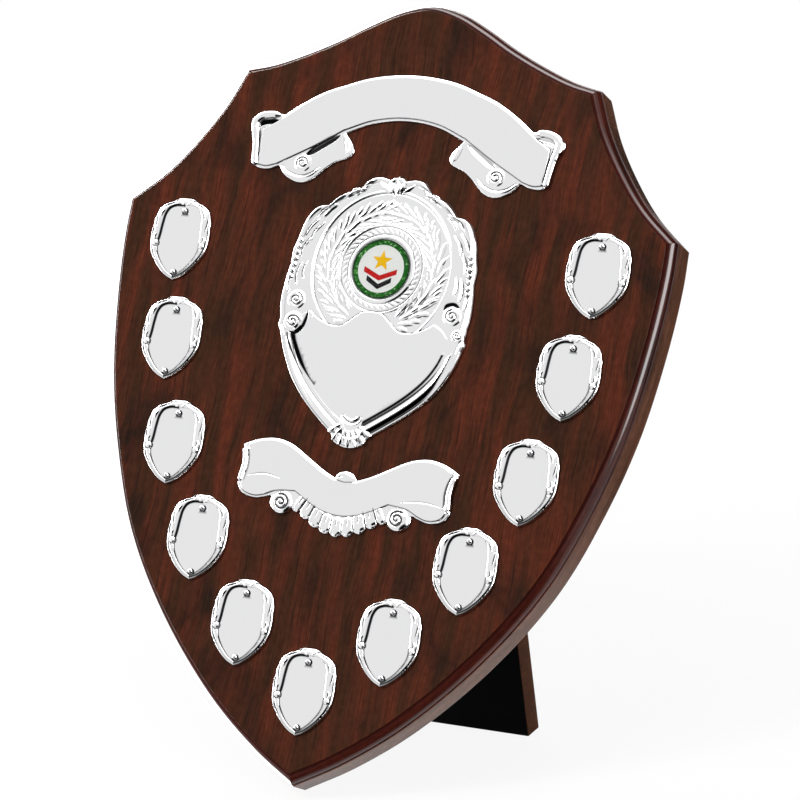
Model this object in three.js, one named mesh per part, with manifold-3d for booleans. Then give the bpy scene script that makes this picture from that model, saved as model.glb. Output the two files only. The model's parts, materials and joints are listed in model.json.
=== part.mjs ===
// Perpetual award shield. A moulded shield-shaped board leans back on a hinged strut,
// with pressed metal plates bonded or pinned to its face. Lengths are in millimetres.
// World axes: +X to the viewer's right, +Y away from the viewer, +Z up.
// Board axes: x across, y up the board from its lower tip, z out of its face.

import * as THREE from 'three';
import { mergeVertices } from 'three/addons/utils/BufferGeometryUtils.js';
import Module from 'manifold-3d';

const wasm = await Module();
wasm.setup();

const { degToRad } = THREE.MathUtils;

// Fits that several pieces share
const SEAT_GAP = 0.3;
const HOLE_CLEARANCE = 0.3;
const CUT_OVERRUN = 2;

// Backboard, with an ovolo moulding round its face
const BOARD_WIDTH = 246;
const BOARD_HEIGHT = 328;
const BOARD_THICKNESS = 19;
const BOARD_LEAN = degToRad(26);
const MOULDING_WIDTH = 3.9;
const MOULDING_DEPTH = 5.6;
const ARRIS_WIDTH = 0.5;
const QUIRK_DEPTH = 0.9;
const FACE_ROUND = 0.4;
const OVOLO_STEPS = 3;

// Centre shield, its printed insert and the insert's clear dome
const CENTRE_SHIELD_WIDTH = 84.6;
const CENTRE_SHIELD_HEIGHT = 114.5;
const CENTRE_SHIELD_OFFSET = -0.4;
const CENTRE_SHIELD_TILT = degToRad(-0.9);
const CENTRE_FIELD_HEIGHT = 1.8;
const CENTRE_RIM_HEIGHT = 3;
const CENTRE_BEAD_HEIGHT = 0.5;
const CENTRE_BEAD_WIDTH = 0.8;
const INSERT_DIAMETER = 25;
const INSERT_THICKNESS = 0.6;
const INSERT_RECESS = 0.8;
const BEZEL_WIDTH = 1.1;
const BEZEL_HEIGHT = 0.7;
const DOME_EDGE = 0.4;
const DOME_CROWN = 1.5;

// Top scroll: an arched ribbon with rolled ends, curled ears and folded tails
const TOP_SCROLL_WIDTH = 140.6;
const TOP_SCROLL_HEIGHT = 49.3;
const TOP_SCROLL_OVERLAP = 5.6;
const TOP_SCROLL_BASE = 1.2;
const TOP_SCROLL_FIELD = 1.8;
const TOP_SCROLL_ROLL = 2.8;
const TOP_VOLUTE_RADIUS = 3.9;

// Lower scroll: a wavy ribbon with two volutes and a fluted shell
const LOWER_SCROLL_WIDTH = 96.2;
const LOWER_SCROLL_HEIGHT = 36.6;
const LOWER_SCROLL_OFFSET = 1.1;
const LOWER_SCROLL_TILT = degToRad(-1.5);
const LOWER_SCROLL_DROP = 9.6;
const LOWER_SCROLL_BASE = 1.2;
const LOWER_SCROLL_FIELD = 1.8;
const LOWER_SCROLL_ROLL = 2.8;
const LOWER_VOLUTE_RADIUS = 4.5;

// Pressed edges of the two scrolls
const PRESSED_EDGE = 0.5;

// Small shields, and the domed nails that hold them
const SIDE_SHIELD_WIDTH = 27;
const SIDE_SHIELD_HEIGHT = 35.5;
const SIDE_FIELD_HEIGHT = 1;
const SIDE_RIM_HEIGHT = 2;
const PIN_HEAD_DIAMETER = 2;
const PIN_HEAD_HEIGHT = 0.7;
const PIN_SHANK_DIAMETER = 1;
const PIN_SIDES = 8;

// Strut, hinged near the middle of the board's back and bevelled at its top
const STRUT_OPENING = degToRad(28);
const STRUT_THICKNESS = 12;
const STRUT_FOOT_WIDTH = 120;
const STRUT_TOP_WIDTH = 76;
const STRUT_BLUNT = 1.5;
const HINGE_HEIGHT = 190;

// Loose-pin butt hinge and its countersunk screws
const HINGE_WIDTH = 50;
const HINGE_LEAF_LENGTH = 14;
const HINGE_LEAF_THICKNESS = 1.7;
const KNUCKLE_RADIUS = 1.9;
const KNUCKLE_COUNT = 5;
const KNUCKLE_SIDES = 12;
const HINGE_PIN_RADIUS = 0.8;
const HINGE_PIN_HEAD_RADIUS = 1.5;
const HINGE_PIN_HEAD_LENGTH = 1.2;
const SCREW_HEAD_RADIUS = 2.6;
const SCREW_SHANK_RADIUS = 1.4;
const SCREW_HEAD_DEPTH = 1.1;
const SCREW_SIDES = 10;

// Saw-tooth wall hanger and its round-head screws
const HANGER_WIDTH = 44;
const HANGER_HEIGHT = 9;
const HANGER_THICKNESS = 1;
const HANGER_RISE = 1.8;
const HANGER_TOOTH = 1.4;
const HANGER_TOOTH_COUNT = 7;
const HANGER_SCREW_HEAD_RADIUS = 2.4;
const HANGER_SCREW_HEAD_HEIGHT = 1.3;
const HANGER_SCREW_SHANK_RADIUS = 1.1;

// How finely a curved outline is stepped between its points
const BOARD_STEPS = 2;
const PLATE_STEPS = 1;
const CIRCLE_SIDES = 36;
const VOLUTE_SIDES = 12;
const MERGE_DISTANCE = 1e-4;

// Outlines are right halves, from the top of the axis to its foot. Each pair is a share
// of the half width and of the height. A new stretch starts at each sharp corner.
const boardShares = [
  [[0, 1], [0.108, 0.991], [0.217, 0.971], [0.324, 0.948], [0.434, 0.928], [0.547, 0.911], [0.645, 0.902]],
  [[0.645, 0.902], [0.706, 0.849], [0.789, 0.799], [0.878, 0.757], [0.999, 0.717]],
  [
    [0.999, 0.717], [1, 0.672], [0.984, 0.59], [0.939, 0.48], [0.866, 0.383],
    [0.756, 0.282], [0.585, 0.185], [0.358, 0.093], [0.163, 0.036], [0, 0],
  ],
];

const centreShieldShares = [
  [[0, 1], [0.05, 0.998], [0.078, 0.989]],
  [[0.078, 0.989], [0.19, 0.996], [0.29, 0.986], [0.37, 0.949]],
  [[0.37, 0.949], [0.473, 0.935], [0.58, 0.913], [0.676, 0.876]],
  [[0.676, 0.876], [0.771, 0.869], [0.851, 0.843], [0.91, 0.799], [0.946, 0.738]],
  [[0.946, 0.738], [0.975, 0.69], [0.972, 0.64]],
  [[0.972, 0.64], [0.99, 0.594], [1, 0.541], [0.998, 0.498], [0.969, 0.437]],
  [[0.969, 0.437], [0.974, 0.415], [0.941, 0.389]],
  [
    [0.941, 0.389], [0.898, 0.349], [0.839, 0.301], [0.745, 0.24], [0.626, 0.183],
    [0.496, 0.134], [0.343, 0.086], [0.194, 0.044],
  ],
  [[0.194, 0.044], [0.16, 0.02], [0.085, 0.006], [0, 0]],
];

// Where the rim of the centre shield ends and its flat field starts
const centreFieldShares = [
  [
    [0, 0.9], [0.284, 0.886], [0.52, 0.843], [0.686, 0.769], [0.768, 0.681], [0.792, 0.576], [0.804, 0.489],
    [0.804, 0.419], [0.757, 0.341], [0.65, 0.271], [0.496, 0.205], [0.319, 0.148], [0.142, 0.1], [0, 0.08],
  ],
];

// The plain lower panel of the centre shield, under a three-lobed upper edge
const centrePanelShares = [
  [[0, 0.5], [0.11, 0.493], [0.19, 0.47]],
  [[0.19, 0.47], [0.3, 0.438], [0.42, 0.436], [0.54, 0.452], [0.65, 0.478]],
  [[0.65, 0.478], [0.72, 0.45], [0.73, 0.4]],
  [[0.73, 0.4], [0.69, 0.34], [0.59, 0.275], [0.45, 0.212], [0.28, 0.155], [0.13, 0.115], [0, 0.098]],
];

const topScrollShares = [
  [[0, 1], [0.142, 0.988], [0.284, 0.951], [0.42, 0.884], [0.54, 0.817], [0.67, 0.71], [0.792, 0.582]],
  [
    [0.792, 0.582], [0.839, 0.594], [0.91, 0.588], [0.967, 0.554],
    [1, 0.503], [0.996, 0.446], [0.973, 0.402],
  ],
  [[0.973, 0.402], [0.96, 0.304], [0.949, 0.203], [0.943, 0.128]],
  [[0.943, 0.128], [0.896, 0.099], [0.832, 0.101], [0.768, 0.134]],
  [
    [0.768, 0.134], [0.733, 0.067], [0.676, 0.018], [0.619, 0], [0.562, 0.018], [0.512, 0.071],
    [0.462, 0.142], [0.405, 0.203], [0.341, 0.239], [0.317, 0.26],
  ],
  [[0.317, 0.26], [0.303, 0.298], [0.317, 0.357], [0.374, 0.458]],
  [[0.374, 0.458], [0.2, 0.56], [0, 0.598]],
];

// The flat band of the top scroll, without its ears, rolled ends and tails
const topBandShares = [
  [[0, 0.984], [0.142, 0.972], [0.284, 0.935], [0.42, 0.868], [0.54, 0.801], [0.67, 0.694], [0.792, 0.56]],
  [[0.792, 0.56], [0.86, 0.5], [0.905, 0.45]],
  [[0.905, 0.45], [0.908, 0.35], [0.905, 0.24], [0.906, 0.135]],
  [[0.906, 0.135], [0.85, 0.118], [0.775, 0.142]],
  [[0.775, 0.142], [0.612, 0.264], [0.498, 0.359], [0.38, 0.474]],
  [[0.38, 0.474], [0.2, 0.576], [0, 0.614]],
];

// The rolled end of the top scroll, as a closed loop on the right
const topRollShares = [
  [[0.915, 0.14], [0.938, 0.142]],
  [[0.938, 0.142], [0.945, 0.21], [0.955, 0.31], [0.965, 0.4]],
  [[0.965, 0.4], [0.98, 0.445], [0.97, 0.5]],
  [[0.97, 0.5], [0.93, 0.44], [0.914, 0.34], [0.912, 0.24], [0.915, 0.14]],
];

// The curled ear of the top scroll, as a closed loop on the right
const topEarShares = [
  [[0.808, 0.56], [0.88, 0.5], [0.955, 0.52]],
  [[0.955, 0.52], [0.94, 0.55], [0.9, 0.572], [0.84, 0.578], [0.808, 0.56]],
];

const lowerScrollShares = [
  [[0, 0.735], [0.052, 0.721], [0.087, 0.683], [0.104, 0.656]],
  [
    [0.104, 0.656], [0.214, 0.719], [0.364, 0.828], [0.541, 0.954], [0.644, 0.992],
    [0.728, 1], [0.832, 0.978], [0.925, 0.934], [1, 0.88],
  ],
  [[1, 0.88], [0.977, 0.76], [0.969, 0.623], [0.985, 0.514], [0.983, 0.432]],
  [
    [0.983, 0.432], [0.94, 0.35], [0.873, 0.314], [0.79, 0.303], [0.707, 0.331], [0.651, 0.35],
    [0.649, 0.273], [0.613, 0.199], [0.541, 0.167], [0.468, 0.197], [0.437, 0.246],
  ],
];

// Notches between the lobes of the shell, from the volute to the middle lobe
const shellNotchShares = [[0.437, 0.246], [0.358, 0.235], [0.264, 0.158], [0.16, 0.087], [0.054, 0.044]];

// One lobe of the shell, as shares of its width: along the notch line, and out from it
const lobeShares = [[0.2, 0.22], [0.5, 0.31], [0.8, 0.22]];

// The ribbon of the lower scroll, without its rolled ends and its shell
const lowerRibbonShares = [
  [[0, 0.63], [0.104, 0.641]],
  [
    [0.104, 0.641], [0.214, 0.704], [0.364, 0.813], [0.541, 0.937], [0.644, 0.975],
    [0.728, 0.983], [0.832, 0.961], [0.945, 0.895],
  ],
  [[0.945, 0.895], [0.925, 0.76], [0.92, 0.623], [0.945, 0.514], [0.955, 0.432]],
  [
    [0.955, 0.432], [0.925, 0.365], [0.865, 0.331], [0.79, 0.32],
    [0.707, 0.348], [0.6, 0.41], [0.437, 0.424],
  ],
  [[0.437, 0.424], [0.301, 0.328], [0.166, 0.254], [0, 0.221]],
];

// The rolled end of the lower scroll, as a closed loop on the right
const lowerRollShares = [
  [[0.972, 0.47], [0.974, 0.53], [0.958, 0.62], [0.966, 0.76], [0.985, 0.865]],
  [[0.985, 0.865], [0.94, 0.885]],
  [[0.94, 0.885], [0.915, 0.76], [0.905, 0.62], [0.925, 0.52], [0.945, 0.46]],
  [[0.945, 0.46], [0.972, 0.47]],
];

const sideShieldShares = [
  [[0, 1], [0.18, 0.999], [0.33, 0.977], [0.467, 0.949]],
  [[0.467, 0.949], [0.62, 0.927], [0.77, 0.888], [0.87, 0.848], [0.925, 0.79]],
  [[0.925, 0.79], [0.975, 0.72], [0.97, 0.653]],
  [
    [0.97, 0.653], [1, 0.58], [0.995, 0.5], [0.965, 0.4], [0.88, 0.305],
    [0.735, 0.22], [0.545, 0.135], [0.28, 0.05], [0, 0],
  ],
];

// Where the rim of a small shield ends and its flat field starts
const sideFieldShares = [
  [
    [0, 0.907], [0.3, 0.904], [0.5, 0.868], [0.61, 0.797], [0.655, 0.685], [0.68, 0.544],
    [0.71, 0.43], [0.68, 0.34], [0.56, 0.25], [0.37, 0.155], [0.185, 0.093], [0, 0.056],
  ],
];

// Places on the board, as shares of its half width and of its height
const centreShieldLevelShare = 0.593;
const hangerLevelShare = 0.885;
const sideShieldPlaceShares = [
  [-0.758, 0.668], [-0.718, 0.539], [-0.635, 0.406], [-0.481, 0.29], [-0.263, 0.192], [0, 0.1185],
  [0.263, 0.192], [0.481, 0.29], [0.635, 0.406], [0.718, 0.539], [0.758, 0.668],
];

// Places on the plates, as shares of each plate's own half width and height
const insertPlaceShare = 0.656;
const centreBeadShares = [0.712, 0.284];
const centreVoluteShares = [0.83, 0.44];
const centreVoluteRadiusShare = 0.09;
const bezelFlareShare = 0.5;
const domeShoulderShares = [0.5, 0.75];
const topVoluteShares = [0.612, 0.166];
const lowerVoluteShares = [0.536, 0.292];
const sideCentreShare = 0.544;
const pinPlaceShares = { top: 0.848, bottom: 0.1 };

// The crown of a rolled scroll end, from its edge to its middle. Each pair is how far out
// and how far below the crest, both as shares of its radius.
const voluteShares = [[1, 0.25], [0.8, 0], [0.55, 0.25], [0.3, 0], [0, 0]];

// Rims: how far in from the edge, as a share of the rim's width, and how high, as a
// share of the step from the field up to the crest
const centreRimShares = [[0.1, 0.9], [0.24, 1], [0.48, 0.3], [1, 0]];
const sideRimShares = [[0.2, 0.9], [0.5, 1], [1, 0]];

// Keeps the inset of a sharp corner from running far past the corner
const sharpestMitreShare = 0.6;

// How much of the wood's depth a fastener bites into
const pinBiteShare = 0.45;
const boardScrewBiteShare = 0.5;
const strutScrewBiteShare = 0.65;
const screwPointShare = 0.2;
const hingeScrewPlaceShares = [-0.3, 0.3];
const leafScrewShare = 0.6;

// Parts of the saw-tooth hanger, as shares of its half width and height
const hangerFlatShare = 0.62;
const hangerRaisedShare = 0.52;
const hangerScrewShare = 0.8;
const hangerEndRoundShare = 0.35;

// Levels that follow from the sizes above
const centreShieldBase = centreShieldLevelShare * BOARD_HEIGHT - CENTRE_SHIELD_HEIGHT / 2;
const topScrollBase = centreShieldBase + CENTRE_SHIELD_HEIGHT - TOP_SCROLL_OVERLAP;
const lowerScrollCrest = lowerScrollShares[0][0][1] * LOWER_SCROLL_HEIGHT;
const lowerScrollBase = centreShieldBase - LOWER_SCROLL_DROP - lowerScrollCrest;

// The hinge axis stands off the board by the knuckle's radius and a clearance
const hingeStandoff = KNUCKLE_RADIUS + HOLE_CLEARANCE;
const leafInnerFace = hingeStandoff - SEAT_GAP - HINGE_LEAF_THICKNESS;
const strutTilt = STRUT_OPENING - BOARD_LEAN;
const hingeFloorHeight = HINGE_HEIGHT * Math.cos(BOARD_LEAN) - hingeStandoff * Math.sin(BOARD_LEAN);

const finishes = {
  wood: { color: 0x4a2418, roughness: 0.35, metalness: 0 },
  plate: { color: 0xe6e6e6, roughness: 0.12, metalness: 1 },
  print: { color: 0x1f6b2a, roughness: 0.5, metalness: 0 },
  dome: { color: 0xf2f6f4, roughness: 0.05, metalness: 0, transparent: true, opacity: 0.35 },
  pin: { color: 0xbdbdbd, roughness: 0.25, metalness: 1 },
  strut: { color: 0x141313, roughness: 0.7, metalness: 0 },
  brass: { color: 0xb8964f, roughness: 0.3, metalness: 1 },
  zinc: { color: 0xc9ccd0, roughness: 0.35, metalness: 1 },
};

// Steps a smooth line through the points of one stretch
function smoothLine(stretch, steps) {
  const knots = stretch.map(([x, y]) => new THREE.Vector3(x, y, 0));
  const line = new THREE.CatmullRomCurve3(knots, false, 'centripetal');
  return line.getPoints((knots.length - 1) * steps);
}

// Turns a pair of shares of a half width and a height into a place at real size
function sized(shares, width, height) {
  return new THREE.Vector2((shares[0] * width) / 2, shares[1] * height);
}

// Joins stretches of shares into one line of points at real size
function sizedLine(stretches, width, height, steps) {
  const points = [];
  for (const stretch of stretches) {
    const run = smoothLine(stretch, stretch.length > 2 ? steps : 1);
    const fresh = points.length > 0 ? run.slice(1) : run;
    points.push(...fresh.map((p) => sized(p.toArray(), width, height)));
  }
  return points;
}

// Closes a right half into a loop that runs anticlockwise
function mirroredLoop(half) {
  const left = half.slice(1, -1).map((p) => new THREE.Vector2(-p.x, p.y));
  return [...half].reverse().concat(left);
}

function mirrorImage(loop) {
  return loop.map((p) => new THREE.Vector2(-p.x, p.y)).reverse();
}

// A loop of shares that doesn't cross the axis, such as one ear
function closedLoop(stretches, width, height, steps) {
  const points = sizedLine(stretches, width, height, steps).slice(0, -1);
  return THREE.ShapeUtils.isClockWise(points) ? points.reverse() : points;
}

function symmetricLoop(stretches, width, height, steps) {
  return mirroredLoop(sizedLine(stretches, width, height, steps));
}

// Moves every point of an anticlockwise loop inwards by the same distance
function insetLoop(loop, distance) {
  return loop.map((point, i) => {
    const before = loop[(i + loop.length - 1) % loop.length];
    const after = loop[(i + 1) % loop.length];
    const one = new THREE.Vector2(before.y - point.y, point.x - before.x).normalize();
    const two = new THREE.Vector2(point.y - after.y, after.x - point.x).normalize();
    const spread = Math.max(1 + one.dot(two), sharpestMitreShare);
    const bisector = one.clone().add(two).divideScalar(spread);
    return point.clone().addScaledVector(bisector, distance);
  });
}

// Finds where the ray from centre through each outer point crosses the inner loop
function innerAlongRays(outer, inner, centre) {
  return outer.map((point) => {
    const ray = point.clone().sub(centre);
    let reach = 0;
    inner.forEach((start, i) => {
      const edge = inner[(i + 1) % inner.length].clone().sub(start);
      const gap = start.clone().sub(centre);
      const turn = ray.cross(edge);
      const along = gap.cross(edge) / turn;
      const across = gap.cross(ray) / turn;
      if (turn !== 0 && along > 0 && across >= 0 && across <= 1) {
        reach = Math.max(reach, along);
      }
    });
    return centre.clone().addScaledVector(ray, reach);
  });
}

function blendLoops(outer, inner, share) {
  return outer.map((point, i) => point.clone().lerp(inner[i], share));
}

function raise(loop, height) {
  return loop.map((point) => new THREE.Vector3(point.x, point.y, height));
}

// Skins a stack of rings with equal counts, and caps the first and the last
function ringSolid(rings, flatten = (p) => new THREE.Vector2(p.x, p.y)) {
  const count = rings[0].length;
  const positions = rings.flat().flatMap((p) => [p.x, p.y, p.z]);
  const index = [];
  for (let ring = 0; ring < rings.length - 1; ring += 1) {
    for (let i = 0; i < count; i += 1) {
      const next = (i + 1) % count;
      const low = ring * count;
      const high = low + count;
      index.push(low + i, low + next, high + next, low + i, high + next, high + i);
    }
  }
  const top = (rings.length - 1) * count;
  for (const [a, b, c] of THREE.ShapeUtils.triangulateShape(rings[0].map(flatten), [])) {
    index.push(a, c, b);
  }
  for (const [a, b, c] of THREE.ShapeUtils.triangulateShape(rings.at(-1).map(flatten), [])) {
    index.push(top + a, top + b, top + c);
  }
  const geometry = new THREE.BufferGeometry();
  geometry.setAttribute('position', new THREE.Float32BufferAttribute(positions, 3));
  geometry.setIndex(index);
  return geometry;
}

// A flat piece with a softened upper edge
function pressedSheet(loop, height, edge = PRESSED_EDGE) {
  return ringSolid([
    raise(loop, 0),
    raise(loop, height - edge),
    raise(insetLoop(loop, edge), height),
  ]);
}

// Drops normals and seams, so that the mesh is one closed skin
function closedSkin(geometry) {
  const bare = geometry.clone();
  bare.deleteAttribute('normal');
  bare.deleteAttribute('uv');
  const merged = mergeVertices(bare, MERGE_DISTANCE);
  const kept = [];
  const old = merged.index.array;
  for (let i = 0; i < old.length; i += 3) {
    const [a, b, c] = [old[i], old[i + 1], old[i + 2]];
    if (a !== b && b !== c && c !== a) {
      kept.push(a, b, c);
    }
  }
  merged.setIndex(kept);
  return merged;
}

function toManifold(geometry) {
  const skin = closedSkin(geometry);
  return new wasm.Manifold(new wasm.Mesh({
    numProp: 3,
    vertProperties: new Float32Array(skin.attributes.position.array),
    triVerts: new Uint32Array(skin.index.array),
  }));
}

function toGeometry(manifold) {
  const mesh = manifold.getMesh();
  const geometry = new THREE.BufferGeometry();
  geometry.setAttribute('position', new THREE.Float32BufferAttribute(mesh.vertProperties, 3));
  geometry.setIndex([...mesh.triVerts]);
  return geometry;
}

function joined(geometries) {
  return toGeometry(geometries.map(toManifold).reduce((sum, each) => sum.add(each)));
}

function cut(geometry, cutters) {
  const whole = toManifold(geometry);
  return toGeometry(cutters.map(toManifold).reduce((rest, each) => rest.subtract(each), whole));
}

// A turned piece whose axis is z, from [radius, z] pairs that start and end on the axis
function turned(profile, sides) {
  const points = profile.map(([radius, level]) => new THREE.Vector2(radius, level));
  return new THREE.LatheGeometry(points, sides).rotateX(Math.PI / 2);
}

// A straight cutter along z, between two levels
function roundCutter(radius, from, to, sides) {
  const height = to - from;
  const cutter = new THREE.CylinderGeometry(radius, radius, height, sides).rotateX(Math.PI / 2);
  return cutter.translate(0, 0, from + height / 2);
}

function boxBetween(x0, x1, y0, y1, z0, z1) {
  const box = new THREE.BoxGeometry(x1 - x0, y1 - y0, z1 - z0);
  return box.translate((x0 + x1) / 2, (y0 + y1) / 2, (z0 + z1) / 2);
}

// A round bar or bore along x, centred on the hinge axis
function roundAlongX(radius, x0, x1, sides) {
  return new THREE.CylinderGeometry(radius, radius, x1 - x0, sides)
    .rotateZ(Math.PI / 2)
    .translate((x0 + x1) / 2, 0, 0);
}

function addPiece(parent, name, finish, geometry) {
  const mesh = new THREE.Mesh(closedSkin(geometry), new THREE.MeshStandardMaterial(finishes[finish]));
  mesh.name = name;
  parent.add(mesh);
  return mesh;
}

// A nail or round-head screw with its head's underside at z = 0
function domedFastener(headRadius, headHeight, shankRadius, shankLength, sides) {
  const half = Math.SQRT1_2;
  return turned([
    [0, -shankLength],
    [shankRadius, -shankLength * (1 - screwPointShare)],
    [shankRadius, 0],
    [headRadius, 0],
    [headRadius * half, headHeight * half],
    [0, headHeight],
  ], sides);
}

// A countersunk screw with the top of its head at z = 0, pointing to -z
function countersunkScrew(length) {
  return turned([
    [0, -length],
    [SCREW_SHANK_RADIUS, -length * (1 - screwPointShare)],
    [SCREW_SHANK_RADIUS, -SCREW_HEAD_DEPTH],
    [SCREW_HEAD_RADIUS, 0],
    [0, 0],
  ], SCREW_SIDES);
}

// The hole for a countersunk screw, with clearance all round
function countersunkHole(length) {
  const wide = SCREW_HEAD_RADIUS + HOLE_CLEARANCE;
  const narrow = SCREW_SHANK_RADIUS + HOLE_CLEARANCE;
  return turned([
    [0, -length - HOLE_CLEARANCE],
    [narrow, -length - HOLE_CLEARANCE],
    [narrow, -SCREW_HEAD_DEPTH],
    [wide, 0],
    [wide, CUT_OVERRUN],
    [0, CUT_OVERRUN],
  ], SCREW_SIDES);
}

// Backboard

function boardRings() {
  const outline = symmetricLoop(boardShares, BOARD_WIDTH, BOARD_HEIGHT, BOARD_STEPS);
  const ovoloWidth = MOULDING_WIDTH - ARRIS_WIDTH;
  const ovoloHeight = MOULDING_DEPTH - QUIRK_DEPTH;
  const steps = [
    [0, -BOARD_THICKNESS],
    [0, -MOULDING_DEPTH - ARRIS_WIDTH],
    [ARRIS_WIDTH, -MOULDING_DEPTH],
  ];
  for (let step = 1; step <= OVOLO_STEPS; step += 1) {
    const turn = (Math.PI / 2) * (step / OVOLO_STEPS);
    steps.push([
      ARRIS_WIDTH + ovoloWidth * (1 - Math.cos(turn)),
      -MOULDING_DEPTH + ovoloHeight * Math.sin(turn),
    ]);
  }
  steps.push([MOULDING_WIDTH, -FACE_ROUND], [MOULDING_WIDTH + FACE_ROUND, 0]);
  return steps.map(([inset, level]) => raise(insetLoop(outline, inset), level));
}

function pinPlaces() {
  const places = [];
  sideShieldPlaceShares.forEach((shares, i) => {
    const { x, y } = sized(shares, BOARD_WIDTH, BOARD_HEIGHT);
    for (const end of ['top', 'bottom']) {
      const name = `pin_${String(i + 1).padStart(2, '0')}_${end}`;
      const up = (pinPlaceShares[end] - sideCentreShare) * SIDE_SHIELD_HEIGHT;
      places.push({ name, x, y: y + up });
    }
  });
  return places;
}

const pinUnderHead = SEAT_GAP + SIDE_FIELD_HEIGHT + SEAT_GAP;
const pinLength = pinUnderHead + pinBiteShare * BOARD_THICKNESS;
const pinHoleRadius = PIN_SHANK_DIAMETER / 2 + HOLE_CLEARANCE;
const hangerUnderHead = SEAT_GAP + HANGER_THICKNESS + SEAT_GAP;
const hangerScrewLength = hangerUnderHead + boardScrewBiteShare * BOARD_THICKNESS;
const hangerLevel = hangerLevelShare * BOARD_HEIGHT;
const hangerScrewX = (hangerScrewShare * HANGER_WIDTH) / 2;
const hingeScrewXs = hingeScrewPlaceShares.map((share) => share * HINGE_WIDTH);
const leafScrewY = leafScrewShare * HINGE_LEAF_LENGTH;
const boardScrewLength = HINGE_LEAF_THICKNESS + SEAT_GAP + boardScrewBiteShare * BOARD_THICKNESS;

function boardHoles() {
  const pinHoleFloor = pinUnderHead - pinLength - HOLE_CLEARANCE;
  const pinHoles = pinPlaces().map(({ x, y }) => (
    roundCutter(pinHoleRadius, pinHoleFloor, CUT_OVERRUN, PIN_SIDES).translate(x, y, 0)
  ));
  const hangerHoles = [-1, 1].map((side) => {
    const radius = HANGER_SCREW_SHANK_RADIUS + HOLE_CLEARANCE;
    const depth = hangerScrewLength - hangerUnderHead + HOLE_CLEARANCE;
    const hole = roundCutter(radius, -BOARD_THICKNESS - CUT_OVERRUN, depth - BOARD_THICKNESS, PIN_SIDES);
    return hole.translate(side * hangerScrewX, hangerLevel, 0);
  });
  const hingeHoles = hingeScrewXs.map((x) => {
    const hole = countersunkHole(boardScrewLength).rotateX(Math.PI);
    return hole.translate(x, HINGE_HEIGHT + leafScrewY, leafInnerFace - BOARD_THICKNESS - hingeStandoff);
  });
  return [...pinHoles, ...hangerHoles, ...hingeHoles];
}

// Centre shield

const insertPlace = [0, insertPlaceShare * CENTRE_SHIELD_HEIGHT];
const insertRadius = INSERT_DIAMETER / 2;
const insertFloor = CENTRE_FIELD_HEIGHT - INSERT_RECESS;

function centreShieldGeometry() {
  const size = [CENTRE_SHIELD_WIDTH, CENTRE_SHIELD_HEIGHT, PLATE_STEPS];
  const middle = new THREE.Vector2(0, CENTRE_SHIELD_HEIGHT / 2);
  const outer = symmetricLoop(centreShieldShares, ...size);
  const inner = innerAlongRays(outer, symmetricLoop(centreFieldShares, ...size), middle);
  const step = CENTRE_RIM_HEIGHT - CENTRE_FIELD_HEIGHT;
  const plate = ringSolid([
    raise(outer, 0),
    raise(outer, CENTRE_FIELD_HEIGHT),
    ...centreRimShares.map(([inShare, upShare]) => (
      raise(blendLoops(outer, inner, inShare), CENTRE_FIELD_HEIGHT + step * upShare)
    )),
  ]);
  const panel = pressedSheet(
    symmetricLoop(centrePanelShares, ...size),
    CENTRE_FIELD_HEIGHT + CENTRE_BEAD_HEIGHT,
    CENTRE_BEAD_HEIGHT,
  );
  return cut(joined([plate, panel, centreBead(), centreBezel(), ...centreVolutes()]), [insertRecess()]);
}

// The raised oval line round the wreath, open where the lower panel starts
function centreBead() {
  const radii = sized(centreBeadShares, CENTRE_SHIELD_WIDTH, CENTRE_SHIELD_HEIGHT);
  const innerRadii = radii.clone().subScalar(CENTRE_BEAD_WIDTH);
  const line = new THREE.Shape();
  line.absellipse(...insertPlace, ...radii, 0, Math.PI * 2, false);
  const hole = new THREE.Path();
  hole.absellipse(...insertPlace, ...innerRadii, 0, Math.PI * 2, true);
  line.holes.push(hole);
  return new THREE.ExtrudeGeometry(line, {
    depth: CENTRE_FIELD_HEIGHT + CENTRE_BEAD_HEIGHT,
    bevelEnabled: false,
    curveSegments: CIRCLE_SIDES / 2,
  });
}

function centreBezel() {
  const inner = insertRadius + HOLE_CLEARANCE;
  const outer = inner + BEZEL_WIDTH;
  const foot = outer + BEZEL_WIDTH * bezelFlareShare;
  const crest = CENTRE_FIELD_HEIGHT + BEZEL_HEIGHT;
  return turned([
    [0, 0], [foot, 0], [foot, CENTRE_FIELD_HEIGHT], [outer, crest], [0, crest],
  ], CIRCLE_SIDES).translate(...insertPlace, 0);
}

function insertRecess() {
  const top = CENTRE_RIM_HEIGHT + CUT_OVERRUN;
  const recess = roundCutter(insertRadius + HOLE_CLEARANCE, insertFloor, top, CIRCLE_SIDES);
  return recess.translate(...insertPlace, 0);
}

// A round boss with a sunk ring, the simple form of a rolled scroll end
function volute(radius, height) {
  const crown = voluteShares.map(([out, below]) => [radius * out, height - radius * below]);
  return turned([[0, 0], [radius, 0], ...crown], VOLUTE_SIDES);
}

// A pair of rolled scroll ends, mirrored about the middle of a plate
function volutePair(shares, width, height, radius, crest) {
  const { x, y } = sized(shares, width, height);
  return [-1, 1].map((side) => volute(radius, crest).translate(side * x, y, 0));
}

function centreVolutes() {
  const radius = (centreVoluteRadiusShare * CENTRE_SHIELD_WIDTH) / 2;
  const size = [CENTRE_SHIELD_WIDTH, CENTRE_SHIELD_HEIGHT];
  return volutePair(centreVoluteShares, ...size, radius, CENTRE_RIM_HEIGHT);
}

function domeGeometry() {
  const [out, up] = domeShoulderShares;
  return turned([
    [0, 0],
    [insertRadius, 0],
    [insertRadius, DOME_EDGE],
    [insertRadius * out, DOME_EDGE + (DOME_CROWN - DOME_EDGE) * up],
    [0, DOME_CROWN],
  ], CIRCLE_SIDES);
}

// Top scroll

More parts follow.
